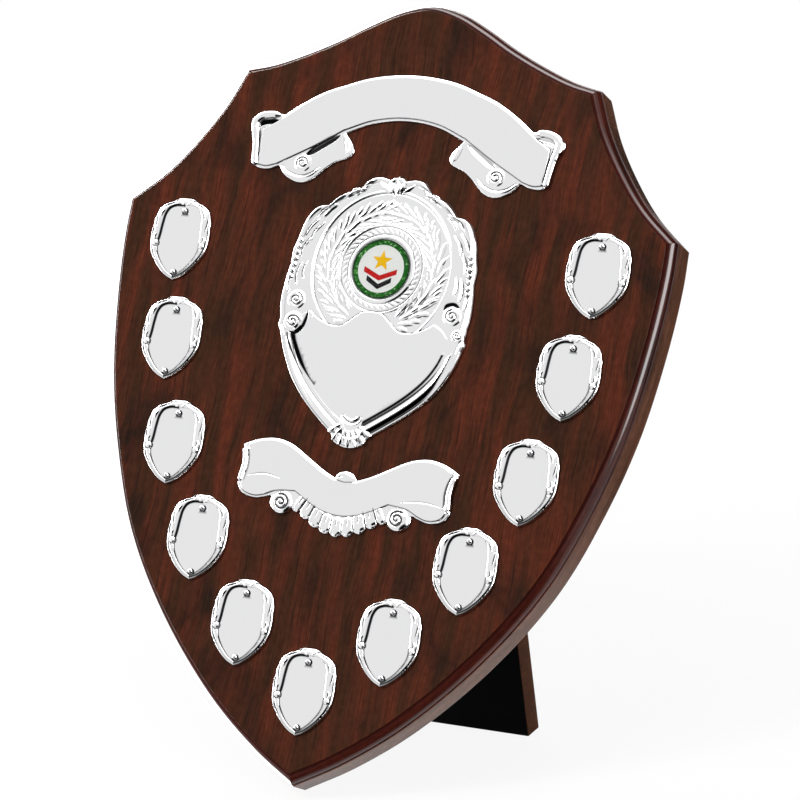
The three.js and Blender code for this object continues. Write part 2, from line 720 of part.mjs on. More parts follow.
function topScrollGeometry() {
  const sides = [TOP_SCROLL_WIDTH, TOP_SCROLL_HEIGHT];
  const size = [...sides, PLATE_STEPS];
  const roll = closedLoop(topRollShares, ...size);
  const ear = closedLoop(topEarShares, ...size);
  const raised = [roll, mirrorImage(roll), ear, mirrorImage(ear)];
  return joined([
    pressedSheet(symmetricLoop(topScrollShares, ...size), TOP_SCROLL_BASE),
    pressedSheet(symmetricLoop(topBandShares, ...size), TOP_SCROLL_FIELD),
    ...raised.map((loop) => pressedSheet(loop, TOP_SCROLL_ROLL)),
    ...volutePair(topVoluteShares, ...sides, TOP_VOLUTE_RADIUS, TOP_SCROLL_ROLL),
  ]);
}

// Lower scroll

// The right half of the outline, ending in the middle of the shell's scalloped edge
function lowerScrollHalf(sides) {
  const half = sizedLine(lowerScrollShares, ...sides, PLATE_STEPS);
  const notches = shellNotchShares.map((shares) => sized(shares, ...sides));
  notches.push(new THREE.Vector2(-notches.at(-1).x, notches.at(-1).y));
  notches.slice(0, -1).forEach((start, i) => {
    const end = notches[i + 1];
    const outward = new THREE.Vector2(start.y - end.y, end.x - start.x);
    const lobe = lobeShares.map(([along, out]) => (
      start.clone().lerp(end, along).addScaledVector(outward, out)
    ));
    half.push(...(i < notches.length - 2 ? [...lobe, end] : lobe.slice(0, 2)));
  });
  return half;
}

function lowerScrollGeometry() {
  const sides = [LOWER_SCROLL_WIDTH, LOWER_SCROLL_HEIGHT];
  const size = [...sides, PLATE_STEPS];
  const roll = closedLoop(lowerRollShares, ...size);
  return joined([
    pressedSheet(mirroredLoop(lowerScrollHalf(sides)), LOWER_SCROLL_BASE),
    pressedSheet(symmetricLoop(lowerRibbonShares, ...size), LOWER_SCROLL_FIELD),
    ...[roll, mirrorImage(roll)].map((loop) => pressedSheet(loop, LOWER_SCROLL_ROLL)),
    ...volutePair(lowerVoluteShares, ...sides, LOWER_VOLUTE_RADIUS, LOWER_SCROLL_ROLL),
  ]);
}

// Small shields

function sideShieldGeometry() {
  const size = [SIDE_SHIELD_WIDTH, SIDE_SHIELD_HEIGHT, PLATE_STEPS];
  const middle = new THREE.Vector2(0, SIDE_SHIELD_HEIGHT / 2);
  const outer = symmetricLoop(sideShieldShares, ...size);
  const inner = innerAlongRays(outer, symmetricLoop(sideFieldShares, ...size), middle);
  const step = SIDE_RIM_HEIGHT - SIDE_FIELD_HEIGHT;
  const plate = ringSolid([
    raise(outer, 0),
    raise(outer, SIDE_FIELD_HEIGHT),
    ...sideRimShares.map(([inShare, upShare]) => (
      raise(blendLoops(outer, inner, inShare), SIDE_FIELD_HEIGHT + step * upShare)
    )),
  ]);
  const holes = Object.values(pinPlaceShares).map((share) => (
    roundCutter(pinHoleRadius, -CUT_OVERRUN, SIDE_RIM_HEIGHT + CUT_OVERRUN, PIN_SIDES)
      .translate(0, share * SIDE_SHIELD_HEIGHT, 0)
  ));
  return cut(plate, holes).translate(0, -sideCentreShare * SIDE_SHIELD_HEIGHT, 0);
}

// Strut, in axes that turn with it: the hinge axis is x, and the foot lies towards -y

// Where the floor crosses the strut, at a depth behind the hinge axis
function footLevel(depth) {
  return (-hingeFloorHeight - depth * Math.sin(strutTilt)) / Math.cos(strutTilt);
}

// Where the bevelled end lies, at a depth behind the hinge axis
function bevelLevel(depth) {
  return (depth * Math.cos(STRUT_OPENING) - hingeStandoff) / Math.sin(STRUT_OPENING);
}

const strutFront = hingeStandoff;
const strutRear = hingeStandoff + STRUT_THICKNESS;
const strutTop = bevelLevel(strutRear - STRUT_BLUNT);

function strutHalfWidth(level) {
  const share = (level - footLevel(strutRear)) / (strutTop - footLevel(strutRear));
  return THREE.MathUtils.lerp(STRUT_FOOT_WIDTH, STRUT_TOP_WIDTH, share) / 2;
}

function strutGeometry() {
  const profile = [
    [footLevel(strutFront), -strutFront],
    [footLevel(strutRear), -strutRear],
    [strutTop, -strutRear],
    [strutTop, -strutRear + STRUT_BLUNT],
    [bevelLevel(strutFront), -strutFront],
  ];
  const rings = [-1, 1].map((side) => (
    profile.map(([y, z]) => new THREE.Vector3(side * strutHalfWidth(y), y, z))
  ));
  const panel = ringSolid(rings, (p) => new THREE.Vector2(p.y, p.z));
  const holes = hingeScrewXs.map((x) => (
    countersunkHole(strutScrewLength).translate(x, leafScrewY, -leafInnerFace).rotateX(-STRUT_OPENING)
  ));
  return cut(panel, holes);
}

// How thick the bevelled end is under a strut screw, square to the bevel
const wedgeUnderScrew = ((strutRear / Math.sin(STRUT_OPENING)
  - hingeStandoff / Math.tan(STRUT_OPENING)) - leafScrewY) * Math.tan(STRUT_OPENING);
const strutScrewLength = HINGE_LEAF_THICKNESS + SEAT_GAP + strutScrewBiteShare * wedgeUnderScrew;

// Hinge leaf in the axes of its closed position. Side 1 lies against the board and side -1
// against the strut. Its own knuckles are every second one, from firstKnuckle.
function hingeLeafGeometry(side, firstKnuckle, screwLength) {
  const pitch = HINGE_WIDTH / KNUCKLE_COUNT;
  const reach = KNUCKLE_RADIUS + HOLE_CLEARANCE;
  const half = HINGE_WIDTH / 2;
  const depths = [leafInnerFace, leafInnerFace + HINGE_LEAF_THICKNESS];
  const faces = depths.map((depth) => side * depth).sort((a, b) => a - b);
  const plate = boxBetween(-half, half, 0, HINGE_LEAF_LENGTH, ...faces);
  const knuckles = [];
  const cutters = [];
  for (let knuckle = 0; knuckle < KNUCKLE_COUNT; knuckle += 1) {
    const start = knuckle * pitch - half;
    if ((knuckle - firstKnuckle) % 2 === 0) {
      const from = knuckle === 0 ? start : start + HOLE_CLEARANCE / 2;
      const to = knuckle === KNUCKLE_COUNT - 1 ? half : start + pitch - HOLE_CLEARANCE / 2;
      knuckles.push(roundAlongX(KNUCKLE_RADIUS, from, to, KNUCKLE_SIDES));
    } else {
      const from = start - HOLE_CLEARANCE / 2;
      const to = start + pitch + HOLE_CLEARANCE / 2;
      cutters.push(boxBetween(from, to, -reach, reach, -reach, reach));
    }
  }
  const leaf = joined([cut(plate, cutters), ...knuckles]);
  const bore = roundAlongX(
    HINGE_PIN_RADIUS + HOLE_CLEARANCE,
    -half - CUT_OVERRUN,
    half + CUT_OVERRUN,
    KNUCKLE_SIDES,
  );
  const screwHoles = hingeScrewXs.map((x) => {
    const hole = countersunkHole(screwLength);
    return (side > 0 ? hole.rotateX(Math.PI) : hole).translate(x, leafScrewY, side * leafInnerFace);
  });
  return cut(leaf, [bore, ...screwHoles]);
}

// The pin passes both end knuckles, with a head on the left
function hingePinGeometry() {
  const end = HINGE_WIDTH / 2;
  const underHead = -end - SEAT_GAP;
  const tip = underHead - HINGE_PIN_HEAD_LENGTH;
  return joined([
    roundAlongX(HINGE_PIN_RADIUS, (underHead + tip) / 2, end, KNUCKLE_SIDES),
    roundAlongX(HINGE_PIN_HEAD_RADIUS, tip, underHead, KNUCKLE_SIDES),
  ]);
}

// Saw-tooth hanger: flat ends, a raised middle, and teeth along its lower edge

function hangerGeometry() {
  const half = HANGER_WIDTH / 2;
  const [flat, raised] = [hangerFlatShare * half, hangerRaisedShare * half];
  const top = HANGER_THICKNESS;
  const crest = HANGER_RISE + top;
  const section = [
    [-half, 0], [-flat, 0], [-raised, HANGER_RISE], [raised, HANGER_RISE], [flat, 0], [half, 0],
    [half, top], [flat, top], [raised, crest], [-raised, crest], [-flat, top], [-half, top],
  ];
  const strip = [1, -1].map((end) => (
    section.map(([x, z]) => new THREE.Vector3(x, end * (HANGER_HEIGHT / 2 + CUT_OVERRUN), z))
  ));
  const bent = ringSolid(strip, (p) => new THREE.Vector2(p.x, p.z));
  const low = -HANGER_HEIGHT / 2;
  const pitch = (2 * raised) / HANGER_TOOTH_COUNT;
  const chamfer = hangerEndRoundShare * HANGER_HEIGHT;
  const outline = [[-half, low + chamfer], [-half + chamfer, low]];
  for (let tooth = 0; tooth < HANGER_TOOTH_COUNT; tooth += 1) {
    const start = tooth * pitch - raised;
    outline.push([start, low], [start + pitch / 2, low + HANGER_TOOTH]);
  }
  outline.push([raised, low], [half - chamfer, low], [half, low + chamfer]);
  outline.push([half, -low - chamfer], [half - chamfer, -low]);
  outline.push([chamfer - half, -low], [-half, -low - chamfer]);
  const blank = [-CUT_OVERRUN, crest + CUT_OVERRUN].map((level) => (
    outline.map(([x, y]) => new THREE.Vector3(x, y, level))
  ));
  const holes = [-1, 1].map((side) => (
    roundCutter(HANGER_SCREW_SHANK_RADIUS + HOLE_CLEARANCE, -CUT_OVERRUN, top + CUT_OVERRUN, PIN_SIDES)
      .translate(side * hangerScrewX, 0, 0)
  ));
  const sheet = toGeometry(toManifold(bent).intersect(toManifold(ringSolid(blank))));
  return cut(sheet, holes);
}

// Assembly. The board leans back about the x axis and its rear lower edge meets the floor.

const shield = new THREE.Group();
const board = new THREE.Group();
board.rotation.x = Math.PI / 2 - BOARD_LEAN;
board.position.z = BOARD_THICKNESS * Math.sin(BOARD_LEAN);
shield.add(board);

addPiece(board, 'backboard', 'wood', cut(ringSolid(boardRings()), boardHoles()));

const centreGroup = new THREE.Group();
centreGroup.position.set(CENTRE_SHIELD_OFFSET, centreShieldBase, SEAT_GAP);
centreGroup.rotation.z = CENTRE_SHIELD_TILT;
board.add(centreGroup);
addPiece(centreGroup, 'centre_shield', 'plate', centreShieldGeometry());
const insert = turned([
  [0, 0], [insertRadius, 0], [insertRadius, INSERT_THICKNESS], [0, INSERT_THICKNESS],
], CIRCLE_SIDES);
const printLevel = insertFloor + SEAT_GAP;
const domeLevel = printLevel + INSERT_THICKNESS + SEAT_GAP;
addPiece(centreGroup, 'centre_print', 'print', insert).position.set(...insertPlace, printLevel);
addPiece(centreGroup, 'centre_dome', 'dome', domeGeometry()).position.set(...insertPlace, domeLevel);

const topScroll = addPiece(board, 'top_scroll', 'plate', topScrollGeometry());
topScroll.position.set(0, topScrollBase, SEAT_GAP);

const lowerScroll = addPiece(board, 'lower_scroll', 'plate', lowerScrollGeometry());
lowerScroll.position.set(LOWER_SCROLL_OFFSET, lowerScrollBase, SEAT_GAP);
lowerScroll.rotation.z = LOWER_SCROLL_TILT;

const sideShield = sideShieldGeometry();
sideShieldPlaceShares.forEach((shares, i) => {
  const name = `side_shield_${String(i + 1).padStart(2, '0')}`;
  const place = sized(shares, BOARD_WIDTH, BOARD_HEIGHT);
  addPiece(board, name, 'plate', sideShield).position.set(...place, SEAT_GAP);
});

const pin = domedFastener(
  PIN_HEAD_DIAMETER / 2,
  PIN_HEAD_HEIGHT,
  PIN_SHANK_DIAMETER / 2,
  pinLength,
  PIN_SIDES,
);
for (const { name, x, y } of pinPlaces()) {
  addPiece(board, name, 'pin', pin).position.set(x, y, pinUnderHead);
}

const hinge = new THREE.Group();
hinge.position.set(0, HINGE_HEIGHT, -BOARD_THICKNESS - hingeStandoff);
board.add(hinge);
addPiece(hinge, 'hinge_leaf_board', 'brass', hingeLeafGeometry(1, 0, boardScrewLength));
addPiece(hinge, 'hinge_pin', 'brass', hingePinGeometry());
addPiece(hinge, 'hinge_leaf_strut', 'brass', hingeLeafGeometry(-1, 1, strutScrewLength));
const boardScrew = countersunkScrew(boardScrewLength);
const strutScrew = countersunkScrew(strutScrewLength);
hingeScrewXs.forEach((x, i) => {
  const intoBoard = addPiece(hinge, `hinge_screw_board_${i + 1}`, 'brass', boardScrew);
  intoBoard.position.set(x, leafScrewY, leafInnerFace);
  intoBoard.rotation.x = Math.PI;
  const intoStrut = addPiece(hinge, `hinge_screw_strut_${i + 1}`, 'brass', strutScrew);
  intoStrut.position.set(x, leafScrewY, -leafInnerFace);
});

const openStrut = new THREE.Group();
openStrut.rotation.x = STRUT_OPENING;
hinge.add(openStrut);
addPiece(openStrut, 'strut', 'strut', strutGeometry());

const back = new THREE.Group();
back.position.set(0, hangerLevel, -BOARD_THICKNESS);
back.rotation.y = Math.PI;
board.add(back);
addPiece(back, 'wall_hanger', 'zinc', hangerGeometry()).position.z = SEAT_GAP;
const hangerScrew = domedFastener(
  HANGER_SCREW_HEAD_RADIUS,
  HANGER_SCREW_HEAD_HEIGHT,
  HANGER_SCREW_SHANK_RADIUS,
  hangerScrewLength,
  SCREW_SIDES,
);
[-1, 1].forEach((side, i) => {
  const screw = addPiece(back, `hanger_screw_${i + 1}`, 'zinc', hangerScrew);
  screw.position.set(side * hangerScrewX, 0, hangerUnderHead);
});

// The origin is the middle of the base of the whole object
const bounds = new THREE.Box3().setFromObject(shield, true);
shield.position.x -= (bounds.min.x + bounds.max.x) / 2;
shield.position.y -= (bounds.min.y + bounds.max.y) / 2;
shield.updateMatrixWorld(true);

export default shield;
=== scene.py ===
"""Perpetual award shield: a walnut-effect board with stamped nickel plates, on a hinged strut.

Pieces are drawn in millimetres, in the board's own axes: x across it, y up it from its lower
tip and z out of its face. Their widths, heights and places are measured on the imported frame.
"""

import enum
import json
import logging
import random
from dataclasses import dataclass, field
from math import atan2, ceil, cos, dist, hypot, pi, radians, sin, sqrt, tau
from typing import Iterable, Optional, Sequence, Union

import bmesh
import bpy
import numpy as np
from mathutils import Matrix, Vector, kdtree
from mathutils.geometry import delaunay_2d_cdt


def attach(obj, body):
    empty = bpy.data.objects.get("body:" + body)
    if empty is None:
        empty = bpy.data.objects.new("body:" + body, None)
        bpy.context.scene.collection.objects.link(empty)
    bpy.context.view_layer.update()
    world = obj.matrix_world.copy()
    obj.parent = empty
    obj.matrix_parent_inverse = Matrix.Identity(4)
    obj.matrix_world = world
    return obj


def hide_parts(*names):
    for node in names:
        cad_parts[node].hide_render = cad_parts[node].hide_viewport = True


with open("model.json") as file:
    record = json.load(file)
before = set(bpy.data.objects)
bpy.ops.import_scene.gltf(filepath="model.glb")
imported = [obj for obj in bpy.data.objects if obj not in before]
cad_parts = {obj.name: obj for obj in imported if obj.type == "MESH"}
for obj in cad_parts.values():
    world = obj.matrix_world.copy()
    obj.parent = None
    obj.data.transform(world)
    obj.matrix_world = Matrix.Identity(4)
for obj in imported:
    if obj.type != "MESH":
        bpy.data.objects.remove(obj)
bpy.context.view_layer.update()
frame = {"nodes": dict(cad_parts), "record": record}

LOG = logging.getLogger("award_shield")
MM = 0.001

Points = np.ndarray
Pair = tuple[float, float]
Triple = tuple[float, float, float]
Pairs = Sequence[Pair]
Stretches = Sequence[Pairs]
Skin = tuple[np.ndarray, list[Sequence[int]]]
Level = Union[float, np.ndarray]
Thing = bpy.types.Object
Tree = bpy.types.NodeTree
Node = bpy.types.Node
Socket = bpy.types.NodeSocket
Setting = Union[float, int, str, bool, Sequence[float], Socket]
Inputs = dict[Union[str, int], Setting]

RIGHT_ANGLE = 90

# How lines are drawn: the slope under which a curve runs level over the axis, how far a sharp
# corner's inset is held back, a spiral's eye, and how finely all are stepped.
LEVEL_SLOPE = 0.25
SHARPEST_MITRE_SHARE = 0.6
EYE_SHARE = 0.16
SPIRAL_STEPS = 22
FEWEST_SPIRAL_STEPS = 8
STROKE_STEP = 0.4
SECTION_STEP = 0.1
RING_STEPS = 60

# How a relief is pressed: the loops inside its edge, the width of the painted shade at the foot
# of a step, how much painted shade its skirt and its leaves' edges get, and its lattice on plain
# ground.
EDGE_STEPS = (0.12, 0.3)
FOOT_LINE = 0.34
SKIRT_PAINTED_SHADE = 0.75
LEAF_EDGE_PAINTED_SHADE = 0.6
CALM_STEP = 6
BUSY_REACH = 1.5

# Outlines are right halves, from the top of the axis to its foot. Each pair is in thousandths of
# the half width and of the height, and a new stretch starts at each sharp corner.
THOUSAND = 1000
BOARD_SHARES = (
    ((0, 1000), (108, 991), (217, 971), (324, 948), (434, 928), (547, 911), (645, 902)),
    ((645, 902), (706, 849), (789, 799), (878, 757), (999, 717)),
    (
        (999, 717), (1000, 672), (984, 590), (939, 480), (866, 383), (756, 282), (585, 185),
        (358, 93), (163, 36), (0, 0),
    ),
)
CENTRE_SHARES = (
    ((0, 1000), (50, 998), (78, 989)),
    ((78, 989), (190, 996), (290, 986), (370, 949)),
    ((370, 949), (473, 935), (580, 913), (676, 876)),
    ((676, 876), (771, 869), (851, 843), (910, 799), (946, 738)),
    ((946, 738), (975, 690), (972, 640)),
    ((972, 640), (990, 594), (1000, 541), (998, 498), (969, 437)),
    ((969, 437), (974, 415), (941, 389)),
    ((941, 389), (898, 349), (839, 301), (745, 240), (626, 183), (496, 134), (343, 86), (194, 44)),
    ((194, 44), (160, 20), (85, 6), (0, 0)),
)
PANEL_SHARES = (
    ((0, 500), (110, 493), (190, 470)),
    ((190, 470), (300, 438), (420, 436), (540, 452), (650, 478)),
    ((650, 478), (730, 462), (800, 430)),
    ((800, 430), (765, 380), (720, 330), (620, 265), (480, 200), (310, 140), (140, 105), (0, 95)),
)
TOP_SCROLL_SHARES = (
    ((0, 1000), (142, 988), (284, 951), (420, 884), (540, 817), (670, 710), (792, 582)),
    ((792, 582), (839, 594), (910, 588), (967, 554), (1000, 503), (996, 446), (973, 402)),
    ((973, 402), (960, 304), (949, 203), (943, 128)),
    ((943, 128), (896, 99), (832, 101), (768, 134)),
    (
        (768, 134), (733, 67), (676, 18), (619, 0), (562, 18), (512, 71), (462, 142), (405, 203),
        (341, 239), (317, 260),
    ),
    ((317, 260), (303, 298), (317, 357), (374, 458)),
    ((374, 458), (200, 560), (0, 598)),
)
TOP_BAND_SHARES = (
    ((0, 996), (142, 984), (284, 947), (420, 880), (540, 813), (670, 706), (792, 572)),
    ((792, 572), (860, 505), (925, 450)),
    ((925, 450), (926, 350), (923, 240), (920, 120)),
    ((920, 120), (850, 106), (775, 135)),
    ((775, 135), (612, 264), (498, 359), (380, 468)),
    ((380, 468), (200, 570), (0, 606)),
)
LOWER_SCROLL_SHARES = (
    ((0, 735), (52, 721), (87, 683), (104, 656)),
    (
        (104, 656), (214, 719), (364, 828), (541, 954), (644, 992), (728, 1000), (832, 978),
        (925, 934), (1000, 880),
    ),
    ((1000, 880), (977, 760), (969, 623), (985, 514), (983, 432)),
    (
        (983, 432), (940, 350), (873, 314), (790, 303), (707, 331), (651, 350), (649, 273),
        (613, 199), (541, 167), (468, 197), (437, 246),
    ),
)
NOTCH_SHARES = ((437, 246), (358, 235), (264, 158), (160, 87), (54, 44))
LOBE_SHARES = ((0.12, 0.15), (0.3, 0.28), (0.5, 0.32), (0.7, 0.28), (0.88, 0.15))
RIBBON_SHARES = (
    ((0, 630), (104, 652)),
    (
        (104, 652), (214, 714), (364, 823), (541, 949), (644, 987), (728, 995), (832, 973),
        (960, 900),
    ),
    ((960, 900), (940, 760), (932, 623), (950, 514), (965, 432)),
    ((965, 432), (925, 355), (865, 321), (790, 310), (707, 338), (600, 400), (437, 424)),
    ((437, 424), (301, 328), (166, 254), (0, 221)),
)
SIDE_SHARES = (
    ((0, 1000), (180, 999), (330, 977), (467, 949)),
    ((467, 949), (620, 927), (770, 888), (870, 848), (925, 790)),
    ((925, 790), (975, 720), (970, 653)),
    (
        (970, 653), (1000, 580), (995, 500), (965, 400), (880, 305), (735, 220), (545, 135),
        (280, 50), (0, 0),
    ),
)
SIDE_FIELD_SHARES = (
    (
        (0, 907), (300, 904), (500, 868), (610, 797), (655, 685), (680, 544), (710, 430),
        (680, 340), (560, 250), (370, 155), (185, 93), (0, 56),
    ),
)


def smooth_line(stretch: Pairs, step: float) -> Points:
    """Draws a centripetal curve through the points of one stretch.

    Args:
        stretch: The points, at real size.
        step: The longest distance between two points of the result.

    Returns:
        The points of the curve, from the first to the last.
    """
    knots = np.array(stretch, float)
    if len(knots) < 3:
        return resampled(knots, step)
    knots = np.vstack([knot_beyond(knots[0], knots[1]), knots, knot_beyond(knots[-1], knots[-2])])
    drawn = [knots[1]]
    for before, start, end, after in zip(knots, knots[1:], knots[2:], knots[3:]):
        first, middle, last = (
            sqrt(dist(a, b)) for a, b in ((before, start), (start, end), (end, after))
        )
        leave = (start - before) / first - (end - before) / (first + middle)
        leave = leave + (end - start) / middle
        arrive = (end - start) / middle - (after - start) / (middle + last) + (after - end) / last
        leave, arrive = leave * middle, arrive * middle
        count = max(1, ceil(dist(start, end) / step))
        for i in range(1, count + 1):
            t = i / count
            drawn.append(
                (2 * t**3 - 3 * t**2 + 1) * start
                + (t**3 - 2 * t**2 + t) * leave
                + (3 * t**2 - 2 * t**3) * end
                + (t**3 - t**2) * arrive
            )
    return np.array(drawn)


def knot_beyond(end: np.ndarray, neighbour: np.ndarray) -> np.ndarray:
    """Gives the knot beyond a curve's end: mirrored where the curve runs level over the axis.

    Args:
        end: The curve's last point.
        neighbour: The point before it.

    Returns:
        The knot.
    """
    across, up = np.abs(neighbour - end)
    if end[0] == 0 and up < LEVEL_SLOPE * across:
        return neighbour * (-1, 1)
    return 2 * end - neighbour


def resampled(line: Points, step: float) -> Points:
    """Divides every run of a line into equal parts no longer than a step.

    Args:
        line: The points of an open line.
        step: The longest distance between two points of the result.

    Returns:
        The points, with every given point kept.
    """
    parts = [line[:1]]
    for start, end in zip(line, line[1:]):
        count = max(1, ceil(dist(start, end) / step))
        shares = np.arange(1, count + 1)[:, None] / count
        parts.append(start + (end - start) * shares)
    return np.vstack(parts)


def half_line(stretches: Stretches, width: float, height: float, step: float) -> Points:
    """Draws the right half of an outline at real size.

    Args:
        stretches: Thousandths of the half width and of the height.
        width: The whole width.
        height: The whole height.
        step: The longest distance between two points.

    Returns:
        The points from the top of the axis to its foot.
    """
    size = np.array([width / 2, height])
    lines = [smooth_line(np.array(stretch) / THOUSAND * size, step) for stretch in stretches]
    return np.vstack([lines[0], *(line[1:] for line in lines[1:])])


def mirrored(half: Points) -> Points:
    """Closes a right half into a loop that runs anticlockwise."""
    return np.vstack([half[::-1], half[1:-1] * (-1, 1)])


def stroke(places: Pairs, side: int = 1, step: float = STROKE_STEP) -> Points:
    """Draws a smooth stroke on a plate's right half, or mirrors it to the left where side is -1."""
    return smooth_line(places, step) * (side, 1)


def unit_circle(sides: int) -> Points:
    """Draws a circle of radius 1, as a loop."""
    turn = np.arange(sides) * tau / sides
    return np.stack([np.cos(turn), np.sin(turn)], 1)


def arc(centre: Pair, radius: float, start: float, end: float, count: int) -> Points:
    """Draws a part of a circle.

    Args:
        centre: The circle's middle.
        radius: Its radius.
        start: The angle of the first point, in radians.
        end: The angle of the last point.
        count: How many points it has.

    Returns:
        The points.
    """
    turn = np.linspace(start, end, count)
    return np.array(centre) + radius * np.stack([np.cos(turn), np.sin(turn)], 1)


def closed(loop: Points) -> Points:
    """Repeats the first point of a loop at its end."""
    return np.vstack([loop, loop[:1]])


def inset(loop: Points, distance: float) -> Points:
    """Moves every point of an anticlockwise loop inwards by the same distance.

    Args:
        loop: The loop's points.
        distance: How far each side moves.

    Returns:
        As many points as the loop has, with long corners held back.
    """
    before, after = np.roll(loop, 1, 0), np.roll(loop, -1, 0)
    normals = []
    for run in (loop - before, after - loop):
        normals.append(np.stack([-run[:, 1], run[:, 0]], 1) / np.hypot(*run.T)[:, None])
    spread = np.maximum(1 + (normals[0] * normals[1]).sum(1), SHARPEST_MITRE_SHARE)
    return loop + distance * (normals[0] + normals[1]) / spread[:, None]


def inside(loop: Points, points: Points) -> np.ndarray:
    """Tells which points lie inside a loop, by counting the sides that a level line crosses.

    Args:
        loop: The loop's points.
        points: The points to test.

    Returns:
        True for each point inside.
    """
    order = np.argsort(points[:, 1])
    x, y = points[order].T
    crossed = np.zeros(len(points), bool)
    for (x0, y0), (x1, y1) in zip(loop, np.roll(loop, -1, 0)):
        if y0 != y1:
            start, end = np.searchsorted(y, sorted((y0, y1)))
            meeting = x0 + (x1 - x0) * (y[start:end] - y0) / (y1 - y0)
            crossed[start:end] ^= x[start:end] < meeting
    found = np.empty_like(crossed)
    found[order] = crossed
    return found


def eased(value: np.ndarray, start: float, end: float) -> np.ndarray:
    """Goes smoothly from 0 at start to 1 at end, and stays level outside them."""
    t = np.clip((value - start) / (end - start), 0, 1)
    return t * t * (3 - 2 * t)


def nearest_on(line: Points, points: Points) -> tuple[np.ndarray, np.ndarray]:
    """Measures points against a line.

    Args:
        line: The points of an open line.
        points: The points to measure.

    Returns:
        How far each point is from the line, and how far along it, from 0 to 1.
    """
    start, run = line[:-1], np.diff(line, axis=0)
    lengths = np.hypot(*run.T)
    offset = points[:, None] - start[None]
    share = np.clip((offset * run).sum(2) / lengths**2, 0, 1)
    gap = np.hypot(*(offset - share[..., None] * run).transpose(2, 0, 1))
    best, rows = gap.argmin(1), np.arange(len(points))
    walked = np.concatenate([[0], np.cumsum(lengths)])
    along = (walked[best] + share[rows, best] * lengths[best]) / walked[-1]
    return gap[rows, best], along


def distances(loops: Iterable[Points], points: Points, step: float) -> np.ndarray:
    """Measures how far points lie from the nearest of some closed loops.

    Args:
        loops: The loops.
        points: The points to measure.
        step: How finely the loops are divided, and about how close the result is.

    Returns:
        Each point's distance.
    """
    samples = np.vstack([resampled(closed(loop), step) for loop in loops])
    tree = kdtree.KDTree(len(samples))
    for i, (x, y) in enumerate(samples):
        tree.insert((x, y, 0), i)
    tree.balance()
    return np.array([tree.find((x, y, 0))[2] for x, y in points])


def spiral_line(centre: Pair, radius: float, turns: float, start: float, hand: int) -> Points:
    """Draws a spiral that winds in to a small eye.

    Args:
        centre: The middle of the spiral.
        radius: Its outer radius.
        turns: How many turns it makes.
        start: The angle of its outer end, in degrees.
        hand: 1 to wind in anticlockwise, -1 clockwise.

    Returns:
        The points, from the outer end to the eye.
    """
    t = np.linspace(0, 1, max(FEWEST_SPIRAL_STEPS, round(turns * SPIRAL_STEPS)))
    angle = radians(start) + hand * t * turns * tau
    reach = radius * (1 - t * (1 - EYE_SHARE))
    return np.stack([centre[0] + reach * np.cos(angle), centre[1] + reach * np.sin(angle)], 1)


def triangulated(
    loops: Sequence[Points], loose: Points, merge: float
) -> tuple[Points, np.ndarray]:
    """Fills an outline with triangles whose sides follow some loops.

    Args:
        loops: The outline and the other loops.
        loose: Further points.
        merge: How near two points have to lie to become one.

    Returns:
        The points, and the three corners of each triangle.
    """
    sides, first = [], 0
    for loop in loops:
        count = len(loop)
        sides += [(first + i, first + (i + 1) % count) for i in range(count)]
        first += count
    vertices = [Vector(point) for point in np.vstack([*loops, loose])]
    found = delaunay_2d_cdt(vertices, sides, [], 1, merge, False)
    return np.array([tuple(point) for point in found[0]]), np.array(found[2])


